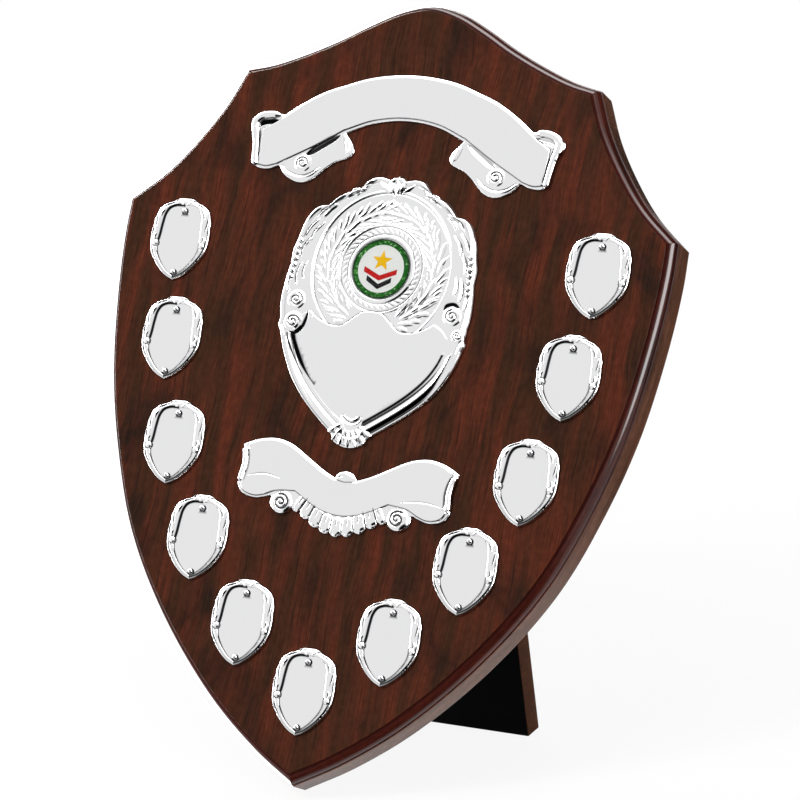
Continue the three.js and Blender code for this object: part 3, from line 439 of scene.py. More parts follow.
class Relief:
    """The pressed face of a plate: a fine triangular lattice of points in the plate's own axes.

    Each point has its distance from the outline (edge), its height above the plate's back, and
    its painted shade, from 0 to 1: dark painted into its grooves, hollows and steps for the shade
    and dark reflections that fall there.
    """

    def __init__(
        self, outline: Points, pitch: float, contours: Sequence[Points],
        calm: Sequence[Points], busy: Sequence[Points] = (),
    ) -> None:
        """Lays the lattice inside an outline.

        Args:
            outline: The plate's edge, as an anticlockwise loop.
            pitch: The distance between neighbours.
            contours: Closed loops that the triangles' sides follow.
            calm: Closed loops inside which the lattice is wider.
            busy: Lines that keep the fine lattice round them.
        """
        self.outline = outline
        steps = [inset(outline, distance) for distance in EDGE_STEPS]
        loops = [resampled(closed(loop), pitch)[:-1] for loop in (outline, *steps, *contours)]
        lattice = self.lay_lattice(pitch, calm, busy)
        lattice = lattice[distances(loops, lattice, pitch / 3) > pitch * 0.5]
        flat, triangles = triangulated(loops, lattice, pitch * 1e-4)
        triangles = triangles[inside(outline, flat[triangles].mean(1))]
        used = np.unique(triangles)
        renumbered = np.zeros(len(flat), int)
        renumbered[used] = np.arange(len(used))
        self.triangles = renumbered[triangles]
        self.points = flat[used]
        self.edge = distances([outline], self.points, pitch / 4)
        self.height = np.zeros(len(used))
        self.painted_shade = np.zeros(len(used))

    def lay_lattice(self, pitch: float, calm: Sequence[Points], busy: Sequence[Points]) -> Points:
        """Lays points in staggered rows, and only some of them where the face is plain.

        Args:
            pitch: The distance between neighbours.
            calm: Closed loops inside which few points are kept.
            busy: Lines round which all are kept.

        Returns:
            The points inside the outline.
        """
        low, high = self.outline.min(0), self.outline.max(0)
        row = pitch * sqrt(3) / 2
        x, y = np.meshgrid(np.arange(low[0], high[0], pitch), np.arange(low[1], high[1], row))
        x[1::2] += pitch / 2
        sparse = np.zeros(x.shape, bool)
        sparse[::CALM_STEP, ::CALM_STEP] = True
        lattice = np.stack([x.ravel(), y.ravel()], 1)
        always = sparse.ravel()
        for line in busy:
            always |= nearest_on(line, lattice)[0] < BUSY_REACH
        kept = inside(self.outline, lattice)
        for loop in calm:
            kept &= always | ~inside(loop, lattice)
        return lattice[kept]

    def near(self, line: Points, reach: float) -> np.ndarray:
        """Lists the points in the box round a line, widened by a reach."""
        low, high = line.min(0) - reach, line.max(0) + reach
        return np.flatnonzero(((self.points > low) & (self.points < high)).all(1))

    def profile(self, levels: Pairs, rounded: bool = True) -> np.ndarray:
        """Reads a rim's section, given as pairs of distance from the edge and height."""
        across, up = (smooth_line(levels, SECTION_STEP) if rounded else np.array(levels)).T
        return np.interp(self.edge, across, up)

    def darkening(self, across: np.ndarray, at: Level, width: Level, dark: Level) -> None:
        """Paints shade into a soft band, width wide to each side, where a measure is near a level.
        """
        self.painted_shade = np.maximum(self.painted_shade, dark * np.exp(-(((across - at) / width) ** 2)))

    def swell(self, across: np.ndarray, at: float, half: float, rise: float) -> None:
        """Raises or sinks a rounded band where a measure is within half of a level."""
        self.height += rise * np.clip(1 - ((across - at) / half) ** 2, 0, 1)

    def line(
        self, line: Points, width: float, rise: float, dark: float = 0, taper: float = 0
    ) -> None:
        """Raises a ridge or sinks a groove along a line.

        Args:
            line: An open line.
            width: The full width.
            rise: The height, or minus the depth.
            dark: How much painted shade its middle gets.
            taper: The share of its length over which each end narrows to a point.
        """
        found = self.near(line, width / 2)
        if not len(found):
            return
        gap, along = nearest_on(line, self.points[found])
        half = np.full(len(found), width / 2)
        if taper:
            half *= np.sqrt(eased(np.minimum(along, 1 - along), -taper / 20, taper))
        swell = np.clip(1 - (gap / half) ** 2, 0, 1) ** 2
        self.height[found] += rise * swell
        self.painted_shade[found] = np.maximum(self.painted_shade[found], dark * np.sqrt(swell))

    def leaf(
        self, root: Pair, tip: Pair, width: float, level: float, rise: float, bow: float = 0
    ) -> None:
        """Lays a pointed leaf with two flat sides that meet along its middle.

        Args:
            root: Where the leaf grows from.
            tip: Where it ends.
            width: Its greatest width.
            level: The height that it lies on.
            rise: How far its middle stands above that.
            bow: How far its middle bends to the left.
        """
        root, tip = np.array(root), np.array(tip)
        run = tip - root
        length = hypot(*run)
        found = self.near(np.array([root, tip]), width / 2 + abs(bow))
        offset = self.points[found] - root
        along = np.clip((offset @ run) / length**2, 0, 1)
        across = (run[0] * offset[:, 1] - run[1] * offset[:, 0]) / length
        across -= 4 * bow * along * (1 - along)
        half = width / 2 * np.sin(pi * along**0.8) ** 0.7
        roof = np.clip(1 - np.abs(across) / np.maximum(half, 1e-3), 0, 1)
        picked = found[roof > 0]
        top = level + rise * roof[roof > 0] * (half / width * 2)[roof > 0]
        higher = top > self.height[picked]
        self.height[picked[higher]] = top[higher]
        # Painted shade along the leaf's edges, for the shade between leaves.
        edge = np.clip(1 - roof[roof > 0][higher] * 4, 0, 1)
        self.painted_shade[picked[higher]] = edge * LEAF_EDGE_PAINTED_SHADE

    def roll(
        self, line: Points, width: float, level: float, foot: float, taper: float = 0
    ) -> None:
        """Lays a half-round roll along a line.

        Args:
            line: An open line.
            width: The roll's width.
            level: The height of its crest.
            foot: The height of its sides.
            taper: The share of its length over which each end narrows.
        """
        found = self.near(line, width / 2)
        gap, along = nearest_on(line, self.points[found])
        half = np.full(len(found), width / 2)
        if taper:
            half *= np.sqrt(eased(np.minimum(along, 1 - along), -taper / 4, taper))
        under = gap < half
        picked = found[under]
        crest = (level - foot) * (half[under] * 2 / width)
        dome = foot + crest * np.sqrt(1 - (gap[under] / half[under]) ** 2)
        higher = dome > self.height[picked]
        self.height[picked[higher]] = dome[higher]
        self.painted_shade[picked[higher]] = 0

    def ring(
        self, centre: Pair, radius: float, width: float, rise: float, dark: float = 0
    ) -> None:
        """Raises or sinks a round ring, as line does for a line."""
        self.line(arc(centre, radius, 0, tau, RING_STEPS), width, rise, dark)

    def plateau(self, loop: Points, level: float, shoulder: float, dark: float = 0) -> None:
        """Lifts a loop's inside to a level, over a rounded shoulder with painted shade at its foot.

        Args:
            loop: The loop.
            level: The height of what it holds.
            shoulder: The width of the rounded shoulder.
            dark: How much painted shade its foot gets.
        """
        found = self.near(loop, shoulder)
        gap = distances([loop], self.points[found], FOOT_LINE / 3)
        foot = dark * np.clip(1 - gap / FOOT_LINE, 0, 1)
        self.painted_shade[found] = np.maximum(self.painted_shade[found], foot)
        within = inside(loop, self.points[found])
        found, gap = found[within], gap[within]
        rounded = np.sqrt(np.clip(1 - (1 - np.minimum(gap / shoulder, 1)) ** 2, 0, 1))
        low = self.height[found]
        self.height[found] = np.maximum(low, low + (level - low) * rounded)

    def boss(self, centre: Pair, radius: float, level: float, foot: float) -> None:
        """Stands a round dome on the plate.

        Args:
            centre: The middle of the dome.
            radius: Its radius.
            level: The height of its top.
            foot: The height of its edge.
        """
        reach = np.hypot(*(self.points - np.array(centre)).T) / radius
        dome = foot + (level - foot) * np.sqrt(np.clip(1 - reach**2, 0, 1))
        under = reach < 1
        self.height[under] = np.maximum(self.height[under], dome[under])

    def volute(
        self, centre: Pair, radius: float, level: float, foot: float, start: float, hand: int
    ) -> None:
        """Rolls a scroll end: a dome with a spiral groove of painted shade and a round eye.

        Args:
            centre: The middle of the dome.
            radius: Its radius.
            level: The height of its top.
            foot: The height of its edge.
            start: The angle of the groove's outer end, in degrees.
            hand: 1 to wind in anticlockwise, -1 clockwise.
        """
        self.boss(centre, radius, level, foot)
        turn = spiral_line(centre, radius * 0.74, 1.7, start, hand)
        self.line(turn, width=radius * 0.26, rise=-(level - foot) * 0.55, dark=0.85)
        self.boss(centre, radius * 0.2, level, foot)

    def solid(self) -> Skin:
        """Closes the face with a skirt and a flat back.

        Returns:
            The vertices and the faces of the whole plate.
        """
        count = len(self.points)
        top = np.column_stack([self.points, self.height])
        faces = self.triangles[self.turned()]
        sides = np.vstack([faces[:, [0, 1]], faces[:, [1, 2]], faces[:, [2, 0]]])
        known = {tuple(side) for side in sides.tolist()}
        onward = {a: b for a, b in known if (b, a) not in known}
        start = next(iter(onward))
        rim = [start]
        while onward[rim[-1]] != start:
            rim.append(onward[rim[-1]])
        back = np.column_stack([self.points[rim], np.zeros(len(rim))])
        below = {vertex: count + i for i, vertex in enumerate(rim)}
        skirt = [(b, a, below[a], below[b]) for a, b in zip(rim, rim[1:] + rim[:1])]
        whole = [*faces.tolist(), *skirt, [below[vertex] for vertex in reversed(rim)]]
        return np.vstack([top, back]), whole

    def turned(self) -> tuple[slice, list[int]]:
        """Finds which way round the triangles face out of the plate.

        Returns:
            All triangles, and the order of their corners.
        """
        a, b, c = self.points[self.triangles[0]]
        anticlockwise = np.cross(b - a, c - a) > 0
        return slice(None), [0, 1, 2] if anticlockwise else [0, 2, 1]


def linear(colour: str) -> tuple[float, float, float, float]:
    """Turns an sRGB hex colour into linear red, green and blue, with full alpha.

    Args:
        colour: The colour, such as #E6E6E7.

    Returns:
        The linear colour.
    """
    parts = [int(colour[i : i + 2], 16) / 255 for i in (1, 3, 5)]
    red, green, blue = (p / 12.92 if p <= 0.04045 else ((p + 0.055) / 1.055) ** 2.4 for p in parts)
    return red, green, blue, 1


def feed(tree: Tree, node: Node, inputs: Inputs) -> None:
    """Sets or links a node's inputs.

    Args:
        tree: The node tree.
        node: The node.
        inputs: Values or sockets, by name or number.
    """
    for name, value in inputs.items():
        if isinstance(value, Socket):
            tree.links.new(value, node.inputs[name])
        else:
            node.inputs[name].default_value = value


def add_node(tree: Tree, kind: str, inputs: Optional[Inputs] = None, **settings: Setting) -> Node:
    """Adds a node with its settings and links.

    Args:
        tree: The node tree.
        kind: The node's type, without its ShaderNode prefix.
        inputs: Values or sockets, by name or number.
        settings: Values for the node's own properties.

    Returns:
        The node.
    """
    node = tree.nodes.new(f"ShaderNode{kind}")
    for name, value in settings.items():
        setattr(node, name, value)
    feed(tree, node, inputs or {})
    return node


class MixSocket(enum.IntEnum):
    """The colour sockets of a Mix node, which share their names with others."""

    FACTOR = 0
    A = 6
    B = 7
    RESULT = 2


@dataclass(frozen=True)
class Spots:
    """Noise spots: their width in millimetres, and their length up the piece in widths.

    The noise has a detail of finer layers and is distorted by its curl, and the spots come in
    between two levels of it.
    """

    width: float
    stretch: float = 1
    detail: float = 3
    curl: float = 0
    levels: Pair = (0, 1)


@dataclass(frozen=True)
class Finish:
    """What every finish shares: one material with one Principled shader, made once."""

    name: str

    def material(self) -> bpy.types.Material:
        """Finds the finish's material, or makes it.

        Returns:
            The material.
        """
        made = bpy.data.materials.get(self.name)
        if made is None:
            made = bpy.data.materials.new(self.name)
            made.use_nodes = True
            self.dress(made.node_tree, made.node_tree.nodes["Principled BSDF"])
        return made

    def dress(self, tree: Tree, shader: Node) -> None:
        """Sets the shader up. Each finish has its own way.

        Args:
            tree: The material's nodes.
            shader: Its shader.
        """
        raise NotImplementedError

    def place(self, tree: Tree) -> Socket:
        """Gives the place that patterns are read at: the piece's own, unless a finish says."""
        return add_node(tree, "TexCoord").outputs["Object"]

    def grain(self, tree: Tree, spots: Spots) -> Socket:
        """Draws noise spots on the piece.

        Args:
            tree: The material's nodes.
            spots: Their sizes.

        Returns:
            The noise's value.
        """
        across, along = 1 / (spots.width * MM), 1 / (spots.width * spots.stretch * MM)
        scaled = {"Vector": self.place(tree), "Scale": (across, along, across)}
        drawn = add_node(tree, "Mapping", scaled).outputs["Vector"]
        inputs = {"Vector": drawn, "Scale": 1, "Detail": spots.detail, "Distortion": spots.curl}
        return add_node(tree, "TexNoise", inputs).outputs["Fac"]

    def over(
        self, tree: Tree, under: Setting, colour: Setting, share: Setting,
        levels: Optional[Pair] = None, way: str = "MIX",
    ) -> Socket:
        """Lays one colour over another.

        Args:
            tree: The material's nodes.
            under: The colour below.
            colour: The colour above.
            share: How much of it shows.
            levels: The levels of the share between which it comes in.
            way: The blend type.

        Returns:
            The mixed colour.
        """
        if levels:
            inputs = {"Value": share, "From Min": levels[0], "From Max": levels[1]}
            bend = add_node(tree, "MapRange", inputs, interpolation_type="SMOOTHSTEP")
            share = bend.outputs["Result"]
        inputs = {MixSocket.FACTOR: share, MixSocket.A: under, MixSocket.B: colour}
        mix = add_node(tree, "Mix", inputs, data_type="RGBA", blend_type=way)
        return mix.outputs[MixSocket.RESULT]


@dataclass(frozen=True)
class WalnutFoil(Finish):
    """Walnut-effect foil under satin lacquer.

    A printed paper foil on fibreboard: long dark fibres, brown heartwood between near-black
    figure, and a smooth lacquer that shines along the rounded edges.
    """

    heart: str = "#361F13"
    red: str = "#4E2417"
    shade: str = "#22160F"
    fleck: str = "#20150F"
    roughness: float = 0.24
    shine: float = 0.05
    lean: float = -2
    wander_mm: float = 10
    wander_every_mm: float = 50
    figure: Spots = Spots(7, 10, levels=(0.36, 0.68))
    streaks: Spots = Spots(1.3, 32, 4, levels=(0.48, 0.82))
    clouds: Spots = Spots(22, 1.8, 5, 0.7, (0.47, 0.76))
    fibre: Spots = Spots(0.45, 34, 4, levels=(0.25, 0.75))
    fibre_depth: float = 0.27
    mottle: Spots = Spots(2.2, 1.4, 2, levels=(0.3, 0.7))
    mottle_depth: float = 0.13
    bump: float = 0.1
    bump_mm: float = 0.02

    def place(self, tree: Tree) -> Socket:
        """Turns the grain a little off the piece's axis and lets it wander from side to side.

        Args:
            tree: The material's nodes.

        Returns:
            The place that the grain is read at.
        """
        turn = (0, 0, -radians(self.lean))
        turned = add_node(
            tree, "Mapping", {"Vector": super().place(tree), "Rotation": turn}
        ).outputs["Vector"]
        every, wander = 1 / (self.wander_every_mm * MM), self.wander_mm * MM
        noise = add_node(tree, "TexNoise", {"Vector": turned, "Scale": every}).outputs["Fac"]
        inputs = {0: noise, 1: wander, 2: -wander / 2}
        aside = add_node(tree, "Math", inputs, operation="MULTIPLY_ADD").outputs[0]
        shift = add_node(tree, "CombineXYZ", {"X": aside}).outputs["Vector"]
        moved = add_node(tree, "VectorMath", {0: turned, 1: shift}, operation="ADD")
        return moved.outputs["Vector"]

    def dress(self, tree: Tree, shader: Node) -> None:
        """Lays bands, streaks and dark clouds over the heartwood, then deepens it by its fibres.

        Args:
            tree: The material's nodes.
            shader: Its shader.
        """
        body: Setting = linear(self.heart)
        for spots, colour in (
            (self.figure, self.red), (self.streaks, self.shade), (self.clouds, self.fleck)
        ):
            body = self.over(tree, body, linear(colour), self.grain(tree, spots), spots.levels)
        fibre, mottle = self.grain(tree, self.fibre), self.grain(tree, self.mottle)
        for noise, spots, depth in (
            (fibre, self.fibre, self.fibre_depth), (mottle, self.mottle, self.mottle_depth)
        ):
            inputs = {
                "Value": noise, "From Min": spots.levels[0], "From Max": spots.levels[1],
                "To Min": 1 - depth, "To Max": 1 + depth,
            }
            tone = add_node(tree, "MapRange", inputs, interpolation_type="SMOOTHSTEP")
            body = self.over(tree, body, tone.outputs["Result"], 1, way="MULTIPLY")
        inputs = {"Height": fibre, "Strength": self.bump, "Distance": self.bump_mm * MM}
        feed(tree, shader, {
            "Base Color": body,
            "Normal": add_node(tree, "Bump", inputs).outputs["Normal"],
            "Roughness": self.roughness,
            "Specular IOR Level": self.shine,
        })


@dataclass(frozen=True)
class StainedEdge(WalnutFoil):
    """Routed fibreboard edge, stained red-brown and lacquered until it shines.

    Its colour is even, with only soft streaks that run along the edge. The quirk's copy is darker
    as painted shade; the side's copy is browner, and lighter as painted light.
    """

    def place(self, tree: Tree) -> Socket:
        """Follows the edge round the board."""
        return add_node(tree, "Attribute", attribute_name="run").outputs["Vector"]


@dataclass(frozen=True)
class BrightNickel(Finish):
    """Bright nickel plate on stamped steel.

    Polished like a mirror on the flats, with hair-fine wiping marks, and with painted shade in
    the grooves and hollows, for the shade and dark reflections that fall there.
    """

    plate: str = "#E6E6E7"
    # The tone of the painted shade.
    groove: str = "#070708"
    roughness: float = 0.07
    wiped: float = 0.05
    wipes: Spots = Spots(0.5, 30)

    def dress(self, tree: Tree, shader: Node) -> None:
        """Darkens the grooves by their painted shade and lets the gloss drift a little.

        Args:
            tree: The material's nodes.
            shader: Its shader.
        """
        painted_shade = add_node(tree, "Attribute", attribute_name="painted_shade").outputs["Fac"]
        ends = {"To Min": self.roughness, "To Max": self.roughness + self.wiped}
        gloss = add_node(tree, "MapRange", {"Value": self.grain(tree, self.wipes), **ends})
        feed(tree, shader, {
            "Base Color": self.over(tree, linear(self.plate), linear(self.groove), painted_shade),
            "Roughness": gloss.outputs["Result"],
            "Metallic": 1,
        })


@dataclass(frozen=True)
class PlainMetal(Finish):
    """A small metal fitting: brass, zinc or nickel, tumbled and lightly handled.

    Its spots of handling are a little darker and duller than the rest.
    """

    colour: str
    darkening: str
    roughness: float
    spot_mm: float
    dulled: float = 1.6
    levels: Pair = (0.35, 0.7)

    def dress(self, tree: Tree, shader: Node) -> None:
        """Lets the colour and the gloss drift from spot to spot.

        Args:
            tree: The material's nodes.
            shader: Its shader.
        """
        handled = self.grain(tree, Spots(self.spot_mm))
        inputs = {
            "Value": handled, "From Min": self.levels[0], "From Max": self.levels[1],
            "To Min": self.roughness, "To Max": self.roughness * self.dulled,
        }
        gloss = add_node(tree, "MapRange", inputs, interpolation_type="SMOOTHSTEP")
        colours = linear(self.colour), linear(self.darkening)
        feed(tree, shader, {
            "Base Color": self.over(tree, *colours, handled, self.levels),
            "Roughness": gloss.outputs["Result"],
            "Metallic": 1,
        })


@dataclass(frozen=True)
class BlackPaint(Finish):
    """Black paint rolled on fibreboard: a soft sheen over the roller's fine orange peel."""

    colour: str = "#020203"
    worn: str = "#070708"
    roughness: float = 0.45
    shine: float = 0.03
    wear: Spots = Spots(22, 34 / 22, levels=(0.35, 0.75))
    peel: Spots = Spots(1.3, detail=2)
    bump: float = 0.2
    bump_mm: float = 0.05

    def dress(self, tree: Tree, shader: Node) -> None:
        """Adds the orange peel and a faint drift of tone.

        Args:
            tree: The material's nodes.
            shader: Its shader.
        """
        tone, peel = self.grain(tree, self.wear), self.grain(tree, self.peel)
        colours = linear(self.colour), linear(self.worn)
        inputs = {"Height": peel, "Strength": self.bump, "Distance": self.bump_mm * MM}
        feed(tree, shader, {
            "Base Color": self.over(tree, *colours, tone, self.wear.levels),
            "Normal": add_node(tree, "Bump", inputs).outputs["Normal"],
            "Roughness": self.roughness,
            "Specular IOR Level": self.shine,
        })


@dataclass(frozen=True)
class PrintedInk(Finish):
    """Screen ink on white vinyl, with the faint mottle of a printed solid."""

    colour: str
    mottle: str
    roughness: float = 0.45
    shine: float = 0.05
    spots: Spots = Spots(0.5, levels=(0.3, 0.75))

    def dress(self, tree: Tree, shader: Node) -> None:
        """Mottles the ink.

        Args:
            tree: The material's nodes.
            shader: Its shader.
        """
        mottled, colours = self.grain(tree, self.spots), (linear(self.colour), linear(self.mottle))
        feed(tree, shader, {
            "Base Color": self.over(tree, *colours, mottled, self.spots.levels),
            "Roughness": self.roughness,
            "Specular IOR Level": self.shine,
        })


@dataclass(frozen=True)
class GlitterInk(Finish):
    """Green foil flake in clear ink: deep green, lighter drifts and a painted glint on some flakes.

    The flakes are drawn 0.45 mm across, coarser than the real 0.1 mm, so that they show. The ink
    goes nearly black towards the disc's edge.
    """

    deep: str = "#0A3A0C"
    mid: str = "#1B6B1A"
    drift: str = "#58A447"
    painted_glint_tone: str = "#B4E8A6"
    rim_tone: str = "#062608"
    flake_mm: float = 0.45
    drifts: Spots = Spots(2.4, levels=(0.5, 0.78))
    painted_glint_levels: Pair = (0.93, 0.99)
    rim_reach_mm: Pair = (11, 12.5)
    roughness: float = 0.3
    shine: float = 0.05

    def dress(self, tree: Tree, shader: Node) -> None:
        """Gives each flake its own tone, a few of them a painted glint, and the rim its dark tone.

        Args:
            tree: The material's nodes.
            shader: Its shader.
        """
        place = self.place(tree)
        flakes = add_node(tree, "TexVoronoi", {"Vector": place, "Scale": 1 / (self.flake_mm * MM)})
        parts = add_node(tree, "SeparateColor", {"Color": flakes.outputs["Color"]}).outputs
        out = add_node(tree, "VectorMath", {0: place}, operation="LENGTH").outputs["Value"]
        rim_reach = (self.rim_reach_mm[0] * MM, self.rim_reach_mm[1] * MM)
        colour: Setting = linear(self.deep)
        for share, levels, tone in (
            (parts["Red"], None, self.mid),
            (self.grain(tree, self.drifts), self.drifts.levels, self.drift),
            (parts["Green"], self.painted_glint_levels, self.painted_glint_tone),
            (out, rim_reach, self.rim_tone),
        ):
            colour = self.over(tree, colour, linear(tone), share, levels)
        feed(tree, shader, {
            "Base Color": colour, "Roughness": self.roughness, "Specular IOR Level": self.shine
        })


@dataclass(frozen=True)
class ClearResin(Finish):
    """Poured polyurethane dome: water-clear, with a liquid gloss that stays thin face on."""

    tint: str = "#FDFFFE"
    glint: str = "#5A5A5A"
    roughness: float = 0.02
    ior: float = 1.5
    shine: float = 0.03
    swell: Spots = Spots(6, detail=1)
    bump: float = 0.05
    bump_mm: float = 0.05

    def dress(self, tree: Tree, shader: Node) -> None:
        """Makes the resin clear, with a slow swell from its pouring.

        Args:
            tree: The material's nodes.
            shader: Its shader.
        """
        swell = self.grain(tree, self.swell)
        inputs = {"Height": swell, "Strength": self.bump, "Distance": self.bump_mm * MM}
        feed(tree, shader, {
            "Normal": add_node(tree, "Bump", inputs).outputs["Normal"],
            "Base Color": linear(self.tint),
            "Roughness": self.roughness,
            "IOR": self.ior,
            "Specular IOR Level": self.shine,
            "Specular Tint": linear(self.glint),
            "Transmission Weight": 1,
        })


WALNUT = WalnutFoil("walnut_effect_foil_under_satin_lacquer")
STAINED_EDGE = StainedEdge(
    "walnut_stained_lacquered_moulding", heart="#3B1610", red="#481C14", shade="#2B100A",
    fleck="#210B07", roughness=0.12, shine=0.3,
)
# Darker than the moulding's stain, as painted shade in the quirk.
QUIRK_STAIN_WITH_PAINTED_SHADE = StainedEdge(
    "walnut_stain_darkened_as_painted_shade_in_the_quirk", heart="#33100B", red="#3B150F", shade="#280B08", fleck="#200806",
    roughness=0.3, shine=0.04,
)
# Browner than the moulding's stain, and lighter as painted light on the side.
SIDE_STAIN_WITH_PAINTED_LIGHT = StainedEdge(
    "walnut_stained_side_lightened_as_painted_light", heart="#5C3B2B", red="#684637", shade="#462D22",
    fleck="#362219", roughness=0.16, shine=0.1,
)
SAWN_EDGE = WalnutFoil(
    "walnut_stained_sawn_edge", heart="#41291E", red="#4C3022", shade="#2E1E17",
    roughness=0.38, lean=0,
)
BLACK_PAINT = BlackPaint("black_rolled_paint_on_fibreboard")
NICKEL = BrightNickel("bright_nickel_plate_on_stamped_steel")
NAIL_STEEL = PlainMetal("nickel_plated_steel_nail", "#B9B9BB", "#96969A", 0.16, 0.8)
BRASS = PlainMetal("tumbled_hinge_brass", "#CBAA6B", "#B4945A", 0.26, 3.5)
ZINC = PlainMetal("zinc_plated_steel", "#C4C8CC", "#9DA2A8", 0.3, 1.6)
WHITE_VINYL = PrintedInk("white_vinyl_ground", "#DFDFDD", "#D8D8D6")
YELLOW_INK = PrintedInk("golden_yellow_screen_ink", "#E8B512", "#DDA50D")
RED_INK = PrintedInk("signal_red_screen_ink", "#BB1A18", "#AB1514")
BLACK_INK = PrintedInk("black_screen_ink", "#131315", "#1C1C1F")
GREEN_GLITTER = GlitterInk("green_glitter_ink")
RESIN = ClearResin("clear_polyurethane_dome")


class Body(enum.Enum):
    """The two bodies of the frame."""

    SHIELD = "shield"
    LEG = "strut_leg"


class Slot(enum.Enum):
    """The record's material slots."""

    BOARD = "walnut_board"
    PLATE = "nickel_plate"
    PRINT = "printed_insert"
    DOME = "resin_dome"
    PIN = "nickel_pin"
    BRASS = "hinge_brass"
    STRUT = "painted_strut"
    ZINC = "zinc_hanger"


@dataclass(frozen=True)
class BoardAxes:
    """The board's own axes in the row frame, and what stands where on them."""

    matrix: Matrix

    @classmethod
    def from_frame(cls) -> "BoardAxes":
        """Reads the lean from the hanger's mount and the place from the board's rear tip.

        Returns:
            The axes.
        """
        mount = next(m for m in frame["record"]["mounts"] if m["name"] == "hanger_face")
        out = -Vector(mount["axis"]).normalized()
        up = out.cross(Vector((1, 0, 0)))
        corners = [v.co for v in frame["nodes"]["backboard"].data.vertices]
        tip = min(corners, key=lambda corner: corner.z)
        depth = max(corner.dot(out) for corner in corners) - tip.dot(out)
        origin = tip + out * depth
        rows = zip(Vector((1, 0, 0)), up, out, origin)
        return cls(Matrix([*(tuple(row) for row in rows), (0, 0, 0, 1)]))

    def seat(self, node: str, turn: float = 0) -> "Seat":
        """Measures a node in the board's axes, or in axes turned on the board.

        Args:
            node: The node's name.
            turn: How far the node is turned on the board's face, in degrees.

        Returns:
            Where the middle of its foot lies and how big it is.
        """
        axes = self.matrix @ Matrix.Rotation(radians(turn), 4, "Z")
        inverse = axes.inverted()
        corners = np.array([inverse @ v.co for v in frame["nodes"][node].data.vertices])
        low, high = corners.min(0), corners.max(0)
        foot = Vector(((low[0] + high[0]) / 2, low[1], low[2]))
        width, height, depth = (high - low) / MM
        return Seat(axes @ Matrix.Translation(foot), width, height, depth)


@dataclass(frozen=True)
class Seat:
    """Axes at the middle of a node's foot, on its back, and the node's size in millimetres."""

    matrix: Matrix
    width: float
    height: float
    depth: float

    def at(self, x: float, y: float, z: float) -> Matrix:
        """Gives the axes of a place on this seat, in millimetres."""
        return self.matrix @ Matrix.Translation(Vector((x, y, z)) * MM)


def add_piece(
    name: str, vertices: np.ndarray, faces: Sequence[Sequence[int]], matrix: Matrix,
    finishes: Sequence[Finish], body: Body, stands_for: Sequence[str],
    smooth_below: float = 40,
) -> Thing:
    """Makes a piece of the object and ties it to the frame.

    Args:
        name: The piece's name.
        vertices: Its vertices, in millimetres.
        faces: Its faces.
        matrix: Its axes in the row frame.
        finishes: Its finishes, the first of which covers it.
        body: The body that it rides on.
        stands_for: The nodes that it replaces.
        smooth_below: Edges that bend less than this many degrees are shaded smooth.

    Returns:
        The piece.
    """
    mesh = bpy.data.meshes.new(name)
    mesh.from_pydata(np.asarray(vertices) * MM, [], faces)
    mesh.update()
    mesh.shade_smooth()
    mesh.set_sharp_from_angle(angle=radians(smooth_below))
    for finish in finishes:
        mesh.materials.append(finish.material())
    piece = bpy.data.objects.new(name, mesh)
    bpy.context.scene.collection.objects.link(piece)
    piece.matrix_world = matrix
    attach(piece, body.value)
    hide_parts(*stands_for)
    LOG.info("%s: %d faces", name, len(faces))
    return piece


def add_plate(name: str, relief: Relief, matrix: Matrix, node: str) -> None:
    """Makes a stamped plate from its relief, with painted shade in its grooves and on its skirt.

    Args:
        name: The piece's name.
        relief: The plate's face.
        matrix: The plate's axes.
        node: The node that it stands for.
    """
    vertices, faces = relief.solid()
    piece = add_piece(
        name, vertices, faces, matrix, [NICKEL], Body.SHIELD, [node], smooth_below=75
    )
    # The skirt gets painted shade, for the plates' shadow and dark outline along their edges.
    values = np.full(len(vertices), SKIRT_PAINTED_SHADE, np.float32)
    values[: len(relief.painted_shade)] = np.clip(relief.painted_shade, 0, 1)
    layer = piece.data.attributes.new("painted_shade", "FLOAT", "POINT")
    layer.data.foreach_set("value", values)


def skinned(rings: Sequence[np.ndarray]) -> Skin:
    """Joins rings of equally many points by bands, and closes both ends flat.

    Args:
        rings: The rings, anticlockwise, from the bottom to the top.

    Returns:
        The vertices and the faces: the bottom, the bands from the bottom up, and the top.
    """
    count = len(rings[0])
    faces: list[Sequence[int]] = [list(range(count))[::-1]]
    for low in range(0, (len(rings) - 1) * count, count):
        for i in range(count):
            onward, above = (i + 1) % count, low + count
            faces.append((low + i, low + onward, above + onward, above + i))
    faces.append([(len(rings) - 1) * count + i for i in range(count)])
    return np.vstack(rings), faces


def lathe(profile: Pairs, sides: int) -> Skin:
    """Turns a profile about z.

    Args:
        profile: Pairs of radius and level, from the bottom to the top, off the axis.
        sides: How many sides a turn has.

    Returns:
        The vertices and faces, with flat ends.
    """
    circle = unit_circle(sides)
    return skinned([np.column_stack([circle * r, np.full(sides, z)]) for r, z in profile])


class Zone(enum.IntEnum):
    """The parts of the board's skin, as numbers in its list of finishes."""

    EDGE = 0
    BACK = 1
    FACE = 2
    SIDE = 3
    QUIRK = 4


